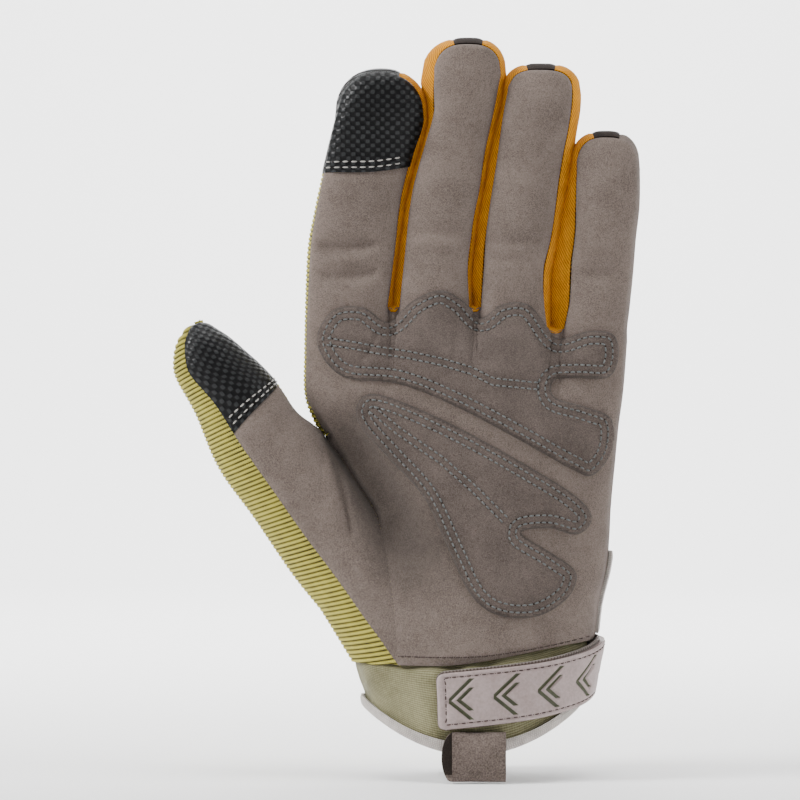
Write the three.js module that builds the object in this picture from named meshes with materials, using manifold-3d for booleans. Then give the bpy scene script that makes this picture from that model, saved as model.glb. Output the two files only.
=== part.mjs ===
import * as THREE from 'three';
import Module from 'manifold-3d';

// A left-hand work glove in its worn shape: the palm faces -Y, the thumb points to -X and the
// fingers to +Z. Millimetres. The origin is the middle of the wrist opening, level with the lowest
// point of the hem at the front.

// Cloth, leather and rubber thicknesses.
const clearance = 0.3;
const seamClearance = 0.12;
const suedeWall = 1.6;
const knitWall = 1.8;
const fourchetteWall = 1.3;
const capWall = 1.7;
const padWall = 2.0;
const cuffWall = 1.8;

// How finely the walls are divided.
const fingerColumns = 6;
const webColumns = 2;
const palmRows = 8;
const fingerRows = 7;
const sideColumns = 3;
const roundColumns = 28;

// Roundness of the hand's and the fingers' cross-sections.
const palmPower = 2.5;
const fingerPower = 2.3;

// Hand from the wrist to the finger roots: the seam is the palm's edge on the thumb side, and left
// and right are the widest points of the whole hand, which the thumb's root hides lower down.
const hand = [
  { z: 30, seam: -24.0, left: -39.5, right: 41.0, front: 24.5, back: 23.5 },
  { z: 50, seam: -25.6, left: -44.5, right: 42.9, front: 22.5, back: 20.5 },
  { z: 63, seam: -27.3, left: -46.5, right: 46.0, front: 21.0, back: 18.5 },
  { z: 73, seam: -29.2, left: -47.5, right: 47.0, front: 20.0, back: 17.5 },
  { z: 83, seam: -32.4, left: -48.2, right: 47.3, front: 19.2, back: 17.0 },
  { z: 92, seam: -38.1, left: -48.6, right: 47.9, front: 18.5, back: 16.5 },
  { z: 100, seam: -43.3, left: -49.0, right: 48.7, front: 17.9, back: 16.0 },
  { z: 107, seam: -48.7, left: -49.4, right: 49.4, front: 17.4, back: 15.6 },
  { z: 112, seam: -51.8, left: -52.0, right: 49.9, front: 17.0, back: 15.3 },
  { z: 121, seam: -55.0, left: -55.1, right: 51.1, front: 16.3, back: 14.8 },
  { z: 135, seam: -55.2, left: -55.3, right: 52.6, front: 15.3, back: 14.0 },
  { z: 151, seam: -54.9, left: -55.0, right: 54.0, front: 14.0, back: 13.0 },
];
const thumbCrotch = 107;
const wristLine = 32;
const palmWidest = 53.0;

// Depth of the palm's edge above the thumb's crotch, and the height it takes to reach it.
const seamEdgeDepth = 4.5;
const seamEdgeRise = 18;

// Lower edge of the palm: its level at the thumb side, its rise and where it rises across the palm.
const palmHemLevel = 30.9;
const palmHemRise = 7.7;
const palmHemRiseFrom = -12;
const palmHemRiseTo = 46;

// Fingers: left and right are the edges of the suede front, and sideLeft and sideRight are the
// widest points of the strips between the fingers. The shoulder is where the fingertip's arch
// springs, and the top is the arch's crown.
const fingers = [
  {
    shoulder: 214.5, top: 229.8, front: 11.0, back: 10.0, arch: 2.3,
    rows: [
      { z: 151, left: -54.9, right: -27.2, sideLeft: -55.9, sideRight: -26.2 },
      { z: 163, left: -54.5, right: -25.7, sideLeft: -55.5, sideRight: -25.2 },
      { z: 173, left: -53.7, right: -24.4, sideLeft: -54.8, sideRight: -23.7 },
      { z: 182, left: -52.0, right: -23.4, sideLeft: -53.1, sideRight: -22.5 },
      { z: 191, left: -50.1, right: -21.9, sideLeft: -51.2, sideRight: -20.7 },
      { z: 203, left: -47.3, right: -18.8, sideLeft: -48.4, sideRight: -17.2 },
      { z: 211, left: -45.3, right: -16.0, sideLeft: -46.4, sideRight: -14.7 },
      { z: 216, left: -44.0, right: -15.1, sideLeft: -45.1, sideRight: -13.9 },
    ],
  },
  {
    shoulder: 229, top: 240.2, front: 11.2, back: 10.2, arch: 2.6,
    rows: [
      { z: 151, left: -24.2, right: 0.4, sideLeft: -25.9, sideRight: 0.7 },
      { z: 163, left: -22.7, right: 0.0, sideLeft: -24.9, sideRight: 0.5 },
      { z: 173, left: -21.8, right: 1.2, sideLeft: -23.4, sideRight: 1.6 },
      { z: 182, left: -20.9, right: 2.2, sideLeft: -22.2, sideRight: 2.7 },
      { z: 191, left: -19.1, right: 4.0, sideLeft: -20.4, sideRight: 4.5 },
      { z: 203, left: -15.6, right: 5.8, sideLeft: -16.9, sideRight: 6.6 },
      { z: 213, left: -12.7, right: 7.7, sideLeft: -14.0, sideRight: 9.0 },
      { z: 220, left: -12.7, right: 9.1, sideLeft: -14.3, sideRight: 10.7 },
      { z: 227, left: -12.4, right: 10.5, sideLeft: -15.9, sideRight: 11.6 },
      { z: 232, left: -11.5, right: 11.9, sideLeft: -14.9, sideRight: 12.6 },
    ],
  },
  {
    shoulder: 223, top: 231.6, front: 10.8, back: 9.8, arch: 2.8,
    rows: [
      { z: 143, left: 3.0, right: 26.6, sideLeft: 1.0, sideRight: 27.4 },
      { z: 151, left: 3.4, right: 25.7, sideLeft: 1.0, sideRight: 27.4 },
      { z: 163, left: 4.1, right: 25.7, sideLeft: 0.8, sideRight: 27.7 },
      { z: 173, left: 4.8, right: 27.9, sideLeft: 1.9, sideRight: 29.6 },
      { z: 182, left: 6.1, right: 29.3, sideLeft: 3.0, sideRight: 31.1 },
      { z: 193, left: 7.7, right: 30.7, sideLeft: 5.2, sideRight: 33.2 },
      { z: 202, left: 9.1, right: 32.1, sideLeft: 6.8, sideRight: 34.7 },
      { z: 210, left: 10.5, right: 33.7, sideLeft: 8.6, sideRight: 35.8 },
      { z: 218, left: 12.0, right: 34.9, sideLeft: 10.6, sideRight: 37.1 },
      { z: 225, left: 13.3, right: 35.4, sideLeft: 11.9, sideRight: 37.3 },
    ],
  },
  {
    shoulder: 198, top: 209.0, front: 9.8, back: 9.0, arch: 2.6,
    rows: [
      { z: 143, left: 31.4, right: 52.8, sideLeft: 27.8, sideRight: 53.8 },
      { z: 151, left: 33.2, right: 53.6, sideLeft: 27.7, sideRight: 54.6 },
      { z: 156, left: 33.6, right: 54.0, sideLeft: 27.8, sideRight: 55.0 },
      { z: 165, left: 33.9, right: 54.8, sideLeft: 28.4, sideRight: 55.9 },
      { z: 175, left: 35.2, right: 55.6, sideLeft: 30.2, sideRight: 56.8 },
      { z: 185, left: 35.5, right: 56.6, sideLeft: 31.9, sideRight: 57.8 },
      { z: 198, left: 35.8, right: 56.8, sideLeft: 34.6, sideRight: 58.0 },
    ],
  },
];
const webHeights = [151.2, 151.2, 143.8];
const webDepth = 6.5;
const webDip = 1.2;
const webSwell = 0.8;
const tipEdgeDepth = 5.0;
const tipRounding = 0.8;
const tipSwell = 1.9;
const tipLean = 1.02;
const palmSwell = 1.0;
const blendBelow = 28;
const blendAbove = 6;
const curlStart = 150;
const curlLength = 90;
const curlForward = 7;

// Thumb: each row is a closed section whose outer end lies on the knit side and whose inner end
// lies towards the index finger. The knit column is the share of the way across that knit covers.
const thumb = [
  { ring: 1, outerX: -50.5, outerZ: 48.2, innerX: -49.3, innerZ: 107.8, depth: 16.5, y: -2.0, knit: 0.31 },
  { ring: 2, outerX: -60.5, outerZ: 60.8, innerX: -50.6, innerZ: 109.6, depth: 15.8, y: -3.0, knit: 0.32 },
  { ring: 3, outerX: -73.0, outerZ: 79.3, innerX: -53.0, innerZ: 111.5, depth: 15.0, y: -4.0, knit: 0.32 },
  { ring: 4, outerX: -85.2, outerZ: 96.6, innerX: -58.5, innerZ: 116.0, depth: 14.2, y: -5.0, knit: 0.34 },
  { ring: 5, outerX: -92.8, outerZ: 114.6, innerX: -64.7, innerZ: 125.4, depth: 13.0, y: -6.0, knit: 0.27 },
  { ring: 6, outerX: -99.4, outerZ: 126.7, innerX: -70.3, innerZ: 131.6, depth: 11.6, y: -6.5, knit: 0.19 },
  { ring: 7, outerX: -100.3, outerZ: 133.0, innerX: -75.4, innerZ: 136.2, depth: 10.0, y: -7.0, knit: 0.18 },
  { ring: 8, outerX: -99.3, outerZ: 138.6, innerX: -80.4, innerZ: 140.6, depth: 8.2, y: -7.0, knit: 0.17 },
  { ring: 9, outerX: -97.0, outerZ: 142.6, innerX: -85.0, innerZ: 143.7, depth: 5.6, y: -7.0, knit: 0.17 },
  { ring: 10, outerX: -94.7, outerZ: 145.0, innerX: -88.0, innerZ: 145.5, depth: 3.2, y: -7.0, knit: 0.17 },
  { ring: 11, outerX: -91.5, outerZ: 146.1, innerX: -91.4, innerZ: 146.1, depth: 0.0, y: -7.0, knit: 0.17 },
];
const thumbTip = 11;
const thumbTipWidth = 6.5;
const thumbTipHeight = 3.0;
const thumbTipDepth = 20;
const thumbRootBend = 1.6;
const thumbCapAtKnit = 4.35;
const thumbCapAtInner = 5.0;
const indexCapLine = 196.2;
const indexCapRise = 2.0;

// Outlines of the two sewn-on palm pads, seen from the palm side.
const upperPadOutline = [
  { x: -51.4, z: 139 }, { x: -46.3, z: 149.6 }, { x: -36, z: 150.8 }, { x: -27.5, z: 145.7 },
  { x: -19, z: 153 }, { x: -10, z: 156.6 }, { x: -2.5, z: 153 }, { x: 3.8, z: 147.2 },
  { x: 11, z: 151.8 }, { x: 20, z: 152.8 }, { x: 26.3, z: 146.5 }, { x: 31.5, z: 140.2 },
  { x: 40, z: 142.8 }, { x: 48.4, z: 141.6 }, { x: 50, z: 134 }, { x: 46.5, z: 127.2 },
  { x: 36, z: 127 }, { x: 28.2, z: 126 }, { x: 28.4, z: 120.4 }, { x: 39, z: 117.2 },
  { x: 47.6, z: 113 }, { x: 47.4, z: 102 }, { x: 41, z: 94.2 }, { x: 33, z: 97 },
  { x: 14, z: 107.6 }, { x: -6, z: 118 }, { x: -24, z: 125 }, { x: -43, z: 127.6 },
];
const lowerPadOutline = [
  { x: -38, z: 117.2 }, { x: -34.2, z: 121.5 }, { x: -25, z: 119.8 }, { x: -6, z: 111.4 },
  { x: 16, z: 99.4 }, { x: 35, z: 87.6 }, { x: 40.8, z: 80 }, { x: 36, z: 74.5 },
  { x: 26, z: 76.6 }, { x: 17, z: 75 }, { x: 28, z: 67.8 }, { x: 35.4, z: 61.5 },
  { x: 32.5, z: 53.2 }, { x: 22, z: 47.2 }, { x: 9.4, z: 47.7 }, { x: 0.5, z: 54 },
  { x: -6.5, z: 68 }, { x: -15.5, z: 87 }, { x: -27, z: 100 }, { x: -36.4, z: 110.6 },
];
const padOutlineSteps = 44;
const padGap = 1.2 * clearance;
const padReach = 60;

// Cuff, from the hem (height 0) up to its edge tucked under the palm (height 1).
const cuffMiddle = 0.7;
const cuffPower = 2.3;
const cuff = [
  { height: 0, halfWidth: 36.0, front: 24.0, back: 23.0 },
  { height: 0.14, halfWidth: 36.0, front: 24.0, back: 23.0 },
  { height: 0.42, halfWidth: 38.0, front: 24.3, back: 23.2 },
  { height: 0.74, halfWidth: 39.2, front: 24.2, back: 23.0 },
  { height: 0.84, halfWidth: 37.4, front: 21.8, back: 20.8 },
  { height: 1, halfWidth: 37.2, front: 21.4, back: 20.4 },
];
const cuffTuck = 6;
const hemSide = 15.5;
const hemDip = 14.5;
const hemBackDip = 3;
const bindingHeight = 4.3;
const bindingWall = 1.0;

// Wrist strap, by its turn round the cuff in degrees: -90 is the front and 0 the little-finger side.
const strapRoute = [
  { turn: -107, middle: 17.9 },
  { turn: -60, middle: 21.6 },
  { turn: -30, middle: 25.4 },
  { turn: 0, middle: 29.6 },
  { turn: 45, middle: 30.6 },
  { turn: 95, middle: 30.6 },
];
const strapSeat = [
  { z: 8, halfWidth: 37.8, front: 25.6, back: 24.8 },
  { z: 20, halfWidth: 38.9, front: 25.7, back: 25.0 },
  { z: 30, halfWidth: 40.6, front: 26.3, back: 25.6 },
  { z: 40, halfWidth: 42.8, front: 27.6, back: 26.6 },
];
const strapWidth = 19;
const strapBackingWall = 0.8;
const strapRubberWall = 2.2;
const strapBackingEdge = 0.4;
const strapSteps = 18;

// Pull loop under the hem.
const loopLeft = -10.6;
const loopRight = 11.7;
const loopTop = 6.8;
const loopBottom = -7.6;
const loopFront = -27.0;
const loopWall = 1.2;
const loopHollow = 4.8;
const loopRound = 1.6;
const loopHollowHeight = 5.2;

// Vent binding on the little-finger side.
const ventTop = 68.5;
const ventBottom = 40.5;
const ventFrom = 0.3;
const ventTo = 0.95;
const ventWall = 1.0;
const ventRows = 5;
const ventGap = 1.4 * clearance;

const colours = {
  suede: 0x857b74, knit: 0xa5a25e, ochre: 0xd79628, black: 0x28292a, cuff: 0x8c8a62,
  binding: 0xbdb9b3, rubber: 0xb9acac, backing: 0x7d7470, loop: 0x73645c,
};

const wasm = await Module();
wasm.setup();

const mix = (from, to, share) => from + (to - from) * share;
const clamp = (value, low, high) => Math.min(Math.max(value, low), high);

function smoothStep(low, high, value) {
  const share = clamp((value - low) / (high - low), 0, 1);
  return share * share * (3 - 2 * share);
}

// Smooth value of a table's column at a place along its key column, held at both ends.
function follow(table, key, column, place) {
  const last = table.length - 1;
  if (place <= table[0][key]) return table[0][column];
  if (place >= table[last][key]) return table[last][column];
  const row = table.findIndex((entry) => entry[key] > place) - 1;
  const slope = (index) => {
    const before = table[Math.max(index - 1, 0)];
    const after = table[Math.min(index + 1, last)];
    return (after[column] - before[column]) / (after[key] - before[key]);
  };
  const span = table[row + 1][key] - table[row][key];
  const share = (place - table[row][key]) / span;
  const rise = table[row + 1][column] - table[row][column];
  const bend = share * (1 - share) * span;
  const middle = table[row][column] + rise * share * share * (3 - 2 * share);
  return middle + bend * (slope(row) * (1 - share) - slope(row + 1) * share);
}

// Half-thickness of a rounded cross-section: edge at its rim, crown in its middle.
function dome(edge, crown, reach, power) {
  return edge + (crown - edge) * Math.sqrt(Math.max(0, 1 - Math.abs(reach) ** power));
}

function handEdge(column, z) {
  return follow(hand, 'z', column, z);
}

// Depth of the whole hand at a place on its face, front or back.
function handDepth(x, z, face) {
  const left = handEdge('left', z);
  const right = handEdge('right', z);
  const across = clamp((2 * x - left - right) / (right - left), -1, 1);
  const leftEdge = seamEdgeDepth * smoothStep(thumbCrotch, thumbCrotch + seamEdgeRise, z);
  const edge = across < 0 ? leftEdge : tipEdgeDepth * Math.min(1, across * 2);
  return dome(edge, handEdge(face, z), across, palmPower);
}

// Forward curl of the fingers.
function curl(z) {
  const share = Math.max(0, (z - curlStart) / curlLength);
  return -curlForward * share * share;
}

function facePoint(x, z, depth, face) {
  return new THREE.Vector3(x, curl(z) + (face === 'front' ? -depth : depth), z);
}

// Lower edge of the palm and of the knit, which the cuff goes under.
function palmHem(x) {
  return palmHemLevel + palmHemRise * smoothStep(palmHemRiseFrom, palmHemRiseTo, x);
}

function webHeight(finger, across) {
  const leftWeb = webHeights[Math.max(finger - 1, 0)];
  const rightWeb = webHeights[Math.min(finger, webHeights.length - 1)];
  return mix(leftWeb, rightWeb, (across + 1) / 2);
}

// Height on a finger: across runs -1 to 1 and along runs 0 at the root to 1 at the arch.
function fingerHeight(finger, across, along) {
  const { shoulder, top, arch } = fingers[finger];
  const root = webHeight(finger, across);
  const crown = shoulder + (top - shoulder) * Math.max(0, 1 - Math.abs(across) ** arch) ** (1 / arch);
  return root + (crown - root) * along;
}

function fingerSide(finger, column, side, along) {
  const z = Math.min(fingerHeight(finger, side, along), fingers[finger].shoulder + 1);
  return follow(fingers[finger].rows, 'z', column, z);
}

function fingerPoint(finger, across, along, face) {
  const z = fingerHeight(finger, across, along);
  const left = fingerSide(finger, 'left', -1, along);
  const right = fingerSide(finger, 'right', 1, along);
  const x = mix(left, right, (across + 1) / 2);
  return facePoint(x, z, columnDepth(finger, across, along, x, z, face), face);
}

// Depth in a finger's column, which turns from the one palm into separate fingers.
function columnDepth(finger, across, along, x, z, face) {
  const tip = Math.max(0, (along - tipRounding) / (1 - tipRounding));
  const crown = dome(tipEdgeDepth, fingers[finger][face], tip, fingerPower);
  const own = dome(tipEdgeDepth, crown, across, fingerPower);
  const root = webHeight(finger, across);
  const share = smoothStep(root - blendBelow, root + blendAbove, z);
  return mix(handDepth(x, z, face), own, share);
}

// Columns of the hand from the thumb side to the little finger: each finger's and, between two
// fingers, the web's.
function columnPlace(step) {
  const even = (2 * step) / fingerColumns - 1;
  return (Math.sin((even * Math.PI) / 2) + even) / 2;
}

function handColumns() {
  const columns = [];
  fingers.forEach((_, finger) => {
    for (let step = 0; step <= fingerColumns; step += 1) {
      columns.push({ finger, across: columnPlace(step) });
    }
    if (finger < webHeights.length) {
      for (let step = 1; step < webColumns; step += 1) columns.push({ web: finger, share: step / webColumns });
    }
  });
  return columns;
}

// Top point of a column of the hand, on the finger roots' line.
function rootPoint(column, face) {
  if (column.web === undefined) return fingerPoint(column.finger, column.across, 0, face);
  const from = fingerPoint(column.web, 1, 0, face);
  const to = fingerPoint(column.web + 1, -1, 0, face);
  const point = from.lerp(to, column.share);
  point.z -= webDip;
  return point;
}

// Point of the hand below the finger roots: row runs 0 at the hem to 1 at the roots.
function palmPoint(column, row, face) {
  const root = rootPoint(column, face);
  if (row === 1) return root;
  const rootLeft = handEdge('seam', root.z);
  const fraction = (root.x - rootLeft) / (fingerSide(3, 'right', 1, 0) - rootLeft);
  const hemX = mix(handEdge('seam', wristLine), handEdge('right', wristLine), fraction);
  const z = mix(palmHem(hemX), root.z, row);
  const x = mix(handEdge('seam', z), Math.min(handEdge('right', z), palmWidest), fraction);
  if (column.web === undefined) {
    return facePoint(x, z, columnDepth(column.finger, column.across, 0, x, z, face), face);
  }
  const share = smoothStep(root.z - blendBelow, root.z + blendAbove, z);
  return facePoint(x, z, mix(handDepth(x, z, face), webDepth, share), face);
}

function grid(rows, columns, point) {
  return rows.map((row) => columns.map((column) => point(row, column)));
}

function steps(count, from = 0, to = 1) {
  return Array.from({ length: count + 1 }, (_, index) => mix(from, to, index / count));
}

// One face of the hand with its four fingers, as grids that meet point to point.
function handFace(face) {
  const columns = handColumns();
  const blocks = [grid(steps(palmRows), columns, (row, column) => palmPoint(column, row, face))];
  fingers.forEach((_, finger) => {
    const across = columns.filter((column) => column.finger === finger).map((column) => column.across);
    const tip = finger === 0 && face === 'front' ? indexCapShare : () => 1;
    blocks.push(grid(steps(fingerRows), across, (along, place) => (
      fingerPoint(finger, place, along * tip(place), face))));
  });
  return blocks;
}

// Share of the index finger's length at the lower edge of its cap.
function indexCapShare(across) {
  const root = fingerHeight(0, across, 0);
  const crown = fingerHeight(0, across, 1);
  const line = indexCapLine + indexCapRise * Math.max(0, across) ** 2;
  return (line - root) / (crown - root);
}

// Points of a finger's rim, from its root up one side and over the arch to a stop.
function fingerRim(finger, side, stop) {
  const up = steps(fingerRows).map((along) => ({ finger, across: side, along }));
  const over = handColumns()
    .filter((column) => column.finger === finger && column.across * side < 1 && column.across * side >= stop)
    .map((column) => ({ finger, across: column.across, along: 1 }))
    .sort((first, second) => (second.across - first.across) * side);
  return up.concat(over);
}

// Outward swell of a rim point's side strip, and its direction in the plane of the hand.
function rimSwell({ finger, across, along }) {
  const side = Math.sign(across);
  const edge = fingerSide(finger, side < 0 ? 'left' : 'right', side, along);
  const widest = fingerSide(finger, side < 0 ? 'sideLeft' : 'sideRight', side, along);
  if (along < 1) return new THREE.Vector3(widest - edge, 0, 0);
  const turn = Math.abs(across);
  const swell = mix(tipSwell, Math.abs(widest - edge), turn ** 4);
  return new THREE.Vector3(side * turn ** 2, 0, tipLean - turn ** 3).normalize().multiplyScalar(swell);
}

// A strip that joins the front and back edges and stands out between them.
function stripPoint({ front, back, swell }, share) {
  return front.clone().lerp(back, share).addScaledVector(swell, Math.sin(share * Math.PI));
}

function strip(path) {
  return path.map((row) => steps(sideColumns).map((share) => stripPoint(row, share)));
}

function rimPath(points) {
  return points.map((point) => ({
    front: fingerPoint(point.finger, point.across, point.along, 'front'),
    back: fingerPoint(point.finger, point.across, point.along, 'back'),
    swell: rimSwell(point),
  }));
}

const tabReach = columnPlace(fingerColumns / 2 + 1);

// Ochre strip between two fingers: down one finger, across the web and up the next.
function fourchette(web) {
  const down = rimPath(fingerRim(web + 1, -1, tabReach)).reverse();
  const across = handColumns().filter((column) => column.web === web).reverse().map((column) => ({
    front: rootPoint(column, 'front'),
    back: rootPoint(column, 'back'),
    swell: new THREE.Vector3(0, 0, webSwell),
  }));
  const up = rimPath(fingerRim(web, 1, tabReach));
  return strip([...down, ...across, ...up]);
}

// The tab on top of a fingertip.
function fingertipTab(finger) {
  const top = [tabReach, 0, -tabReach].map((across) => ({ finger, across, along: 1 }));
  return strip(rimPath(top));
}

function indexCap() {
  const across = handColumns().filter((column) => column.finger === 0).map((column) => column.across);
  return grid(steps(5), across, (along, place) => (
    fingerPoint(0, place, mix(indexCapShare(place), 1, along), 'front')));
}

// Side of the palm below a finger, as a path of front and back edges.
function palmSide(finger, across, rows) {
  const column = { finger, across };
  return rows.map((row) => ({
    front: palmPoint(column, row, 'front'),
    back: palmPoint(column, row, 'back'),
    swell: new THREE.Vector3(palmSwell * across, 0, 0),
  }));
}

// Binding on the vent's edge, on the little-finger side of the palm.
function ventStrip() {
  const hem = palmPoint({ finger: 3, across: 1 }, 0, 'front').z;
  const root = palmPoint({ finger: 3, across: 1 }, 1, 'front').z;
  const rowAt = (z) => (z - hem) / (root - hem);
  const path = palmSide(3, 1, steps(ventRows, rowAt(ventBottom), rowAt(ventTop)));
  return path.map((row) => steps(2, ventFrom, ventTo).map((share) => stripPoint(row, share)));
}

// Point of the thumb: ring counts from 0 at the root to 11 at the tip, and turn goes from 0 at the
// knit side over the front to pi at the inner side, and on over the back.
function thumbPoint(ring, turn) {
  const across = (1 - Math.cos(turn)) / 2;
  const forward = Math.sin(turn) >= 0;
  const shape = (column, place) => follow(thumb, 'ring', column, place);
  const own = (place) => new THREE.Vector3(
    mix(shape('outerX', place), shape('innerX', place), across),
    shape('y', place) - Math.sin(turn) * shape('depth', place),
    mix(shape('outerZ', place), shape('innerZ', place), across),
  );
  if (ring >= 1) return own(ring);
  return thumbRoot(across, forward ? 'front' : 'back').lerp(own(1), ring);
}

// Open root of the thumb: along the wrist to the seam, then up the seam to the thumb's crotch.
function thumbRoot(across, face) {
  const corner = thumb[0].knit;
  const seam = handEdge('seam', wristLine);
  if (across < corner) {
    const x = mix(handEdge('left', wristLine), seam, (across / corner) ** thumbRootBend);
    return facePoint(x, palmHem(x), handDepth(x, wristLine, face), face);
  }
  const z = mix(palmHem(seam), thumbCrotch, (across - corner) / (1 - corner));
  const x = handEdge('seam', z);
  return facePoint(x, z, handDepth(x, z, face), face);
}

function knitTurn(ring) {
  return Math.acos(1 - 2 * follow(thumb, 'ring', 'knit', ring));
}

function thumbCapRing(share) {
  return mix(thumbCapAtKnit, thumbCapAtInner, share);
}

// Front of the thumb between two shares of its length: 0 is the root, 1 the cap's lower edge and
// 2 the tip.
function thumbFront(from, to) {
  return grid(steps(6, from, to), steps(6), (along, share) => {
    const line = thumbCapRing(share);
    const ring = along <= 1 ? along * line : mix(line, thumbTip, along - 1);
    return thumbPoint(ring, mix(knitTurn(ring), Math.PI, share));
  });
}

function thumbBack() {
  return grid(steps(thumbTip, 0, thumbTip), steps(9), (ring, share) => (
    thumbPoint(ring, mix(Math.PI, 2 * Math.PI + knitTurn(ring), share))));
}

// Point of the cuff's outer face: turn in radians, and height 0 at the hem to 1 at the tucked edge.
function ovalPoint(turn, z, halfWidth, front, back) {
  const across = Math.cos(turn);
  const depth = Math.sin(turn) < 0 ? -front : back;
  const y = depth * Math.sqrt(Math.max(0, 1 - Math.abs(across) ** cuffPower));
  return new THREE.Vector3(cuffMiddle + halfWidth * across, y, z);
}

function hemHeight(turn) {
  const facing = Math.sin(turn);
  return facing < 0 ? hemSide - hemDip * facing ** 2 : hemSide - hemBackDip * facing ** 2;
}

function cuffPoint(turn, height) {
  const shape = (column) => follow(cuff, 'height', column, height);
  const top = palmHem(cuffMiddle + shape('halfWidth') * Math.cos(turn)) + cuffTuck;
  const z = mix(hemHeight(turn) + bindingWall + clearance, top, height);
  return ovalPoint(turn, z, shape('halfWidth'), shape('front'), shape('back'));
}

function strapPoint(turn, across) {
  const z = follow(strapRoute, 'turn', 'middle', turn) + (across * strapWidth) / 2;
  const shape = (column) => follow(strapSeat, 'z', column, z);
  return ovalPoint(THREE.MathUtils.degToRad(turn), z, shape('halfWidth'), shape('front'), shape('back'));
}

const placeKey = (point) => point.toArray().map((value) => Math.round(value * 200)).join();

// A sheet is a list of points and of four-sided faces. Grids that share points are joined.
function makeSheet(blocks) {
  const points = [];
  const faces = [];
  const known = new Map();
  const indexOf = (point) => {
    const key = placeKey(point);
    if (!known.has(key)) {
      known.set(key, points.length);
      points.push(point.clone());
    }
    return known.get(key);
  };
  blocks.forEach(({ rows, reversed }) => {
    for (let row = 0; row + 1 < rows.length; row += 1) {
      for (let column = 0; column + 1 < rows[row].length; column += 1) {
        const corners = [
          rows[row][column], rows[row][column + 1], rows[row + 1][column + 1], rows[row + 1][column],
        ].map(indexOf);
        faces.push(reversed ? corners.reverse() : corners);
      }
    }
  });
  return { points, faces };
}

function triangles({ points, faces }) {
  const found = [];
  faces.forEach(([first, second, third, fourth]) => {
    const short = points[first].distanceTo(points[third]) <= points[second].distanceTo(points[fourth]);
    const pair = short
      ? [[first, second, third], [first, third, fourth]]
      : [[first, second, fourth], [second, third, fourth]];
    pair.filter((corners) => new Set(corners).size === 3).forEach((corners) => found.push(corners));
  });
  return found;
}

function sheetNormals(points, corners) {
  const normals = points.map(() => new THREE.Vector3());
  corners.forEach((corner) => {
    const [first, second, third] = corner.map((index) => points[index]);
    const normal = second.clone().sub(first).cross(third.clone().sub(first));
    corner.forEach((index) => normals[index].add(normal));
  });
  return normals.map((normal) => normal.normalize());
}

// A closed wall on a sheet. Its faces lie outer above and inner below the sheet, and its rim is
// moved outwards by rim. Where a skin is given, walls that meet in it share one mitre.
function wall(sheet, outer, inner, rim, skin = new Map()) {
  const { points } = sheet;
  const corners = triangles(sheet);
  const normals = sheetNormals(points, corners).map((own, index) => (
    skin.get(placeKey(points[index])) ?? own));
  const edges = new Map();
  corners.forEach((corner) => corner.forEach((index, place) => {
    edges.set(`${index},${corner[(place + 1) % 3]}`, [index, corner[(place + 1) % 3]]);
  }));
  const rims = [...edges.values()].filter(([from, to]) => !edges.has(`${to},${from}`));
  const outwards = points.map(() => new THREE.Vector3());
  rims.forEach(([from, to]) => {
    const along = points[to].clone().sub(points[from]).normalize();
    outwards[from].add(along.clone().cross(normals[from]));
    outwards[to].add(along.clone().cross(normals[to]));
  });
  outwards.forEach((outward) => outward.normalize());
  const placed = [outer, -inner].flatMap((lift) => points.map((point, index) => (
    point.clone().addScaledVector(normals[index], lift).addScaledVector(outwards[index], rim))));
  const under = points.length;
  const faces = corners.flatMap(([first, second, third]) => [
    [first, second, third], [under + third, under + second, under + first],
  ]);
  rims.forEach(([from, to]) => faces.push([to, from, under + from], [to, under + from, under + to]));
  return solidFrom(placed.flatMap((point) => point.toArray()), faces.flat());
}

function solidFrom(numbers, corners) {
  const mesh = new wasm.Mesh({
    numProp: 3, vertProperties: new Float32Array(numbers), triVerts: new Uint32Array(corners),
  });
  mesh.merge();
  return new wasm.Manifold(mesh);
}

function solidOfGeometry(geometry) {
  const plain = geometry.index ? geometry.toNonIndexed() : geometry;
  const numbers = plain.getAttribute('position').array;
  return solidFrom(numbers, Array.from({ length: numbers.length / 3 }, (_, index) => index));
}

// A wall with two slightly larger copies of it: room keeps other pieces clear, and the closer
// seam keeps clear the walls that share its mitre.
function panel(blocks, thickness, skin) {
  const sheet = makeSheet(blocks);
  return {
    sheet,
    body: wall(sheet, 0, thickness, -clearance * 0.6, skin),
    room: wall(sheet, clearance, thickness + clearance, clearance * 0.6, skin),
    seam: { room: wall(sheet, seamClearance, thickness + seamClearance, -clearance * 0.2, skin) },
  };
}

// What is left of a wall when its neighbours' room is taken away: its largest piece.
function keepClear(body, neighbours) {
  const cut = neighbours.reduce((rest, neighbour) => rest.subtract(neighbour.room), body);
  return cut.decompose().sort((first, second) => second.volume() - first.volume())[0];
}

const front = (rows) => ({ rows, reversed: false });
const rear = (rows) => ({ rows, reversed: true });

const handSides = steps(palmRows);
const indexSide = palmSide(0, -1, handSides).filter((row) => row.front.z > thumbCrotch);

// The hand: the suede front, which turns round the little finger's outer side, and the knit back,
// which turns round the index finger's outer side.
const palmBlocks = [
  ...handFace('front').map(front),
  front(strip(palmSide(3, 1, handSides))),
  front(strip(rimPath(fingerRim(3, 1, tabReach)))),
];
const backBlocks = [
  ...handFace('back').map(rear),
  rear(strip(indexSide)),
  rear(strip(rimPath(fingerRim(0, -1, -tabReach)))),
];
const betweenBlocks = webHeights.map((_, web) => front(fourchette(web)));
const tabBlocks = [1, 2, 3].map((finger) => front(fingertipTab(finger)));
const capBlock = front(indexCap());

function skinOf(blocks) {
  const sheet = makeSheet(blocks);
  const normals = sheetNormals(sheet.points, triangles(sheet));
  return new Map(sheet.points.map((point, index) => [placeKey(point), normals[index]]));
}

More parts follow.
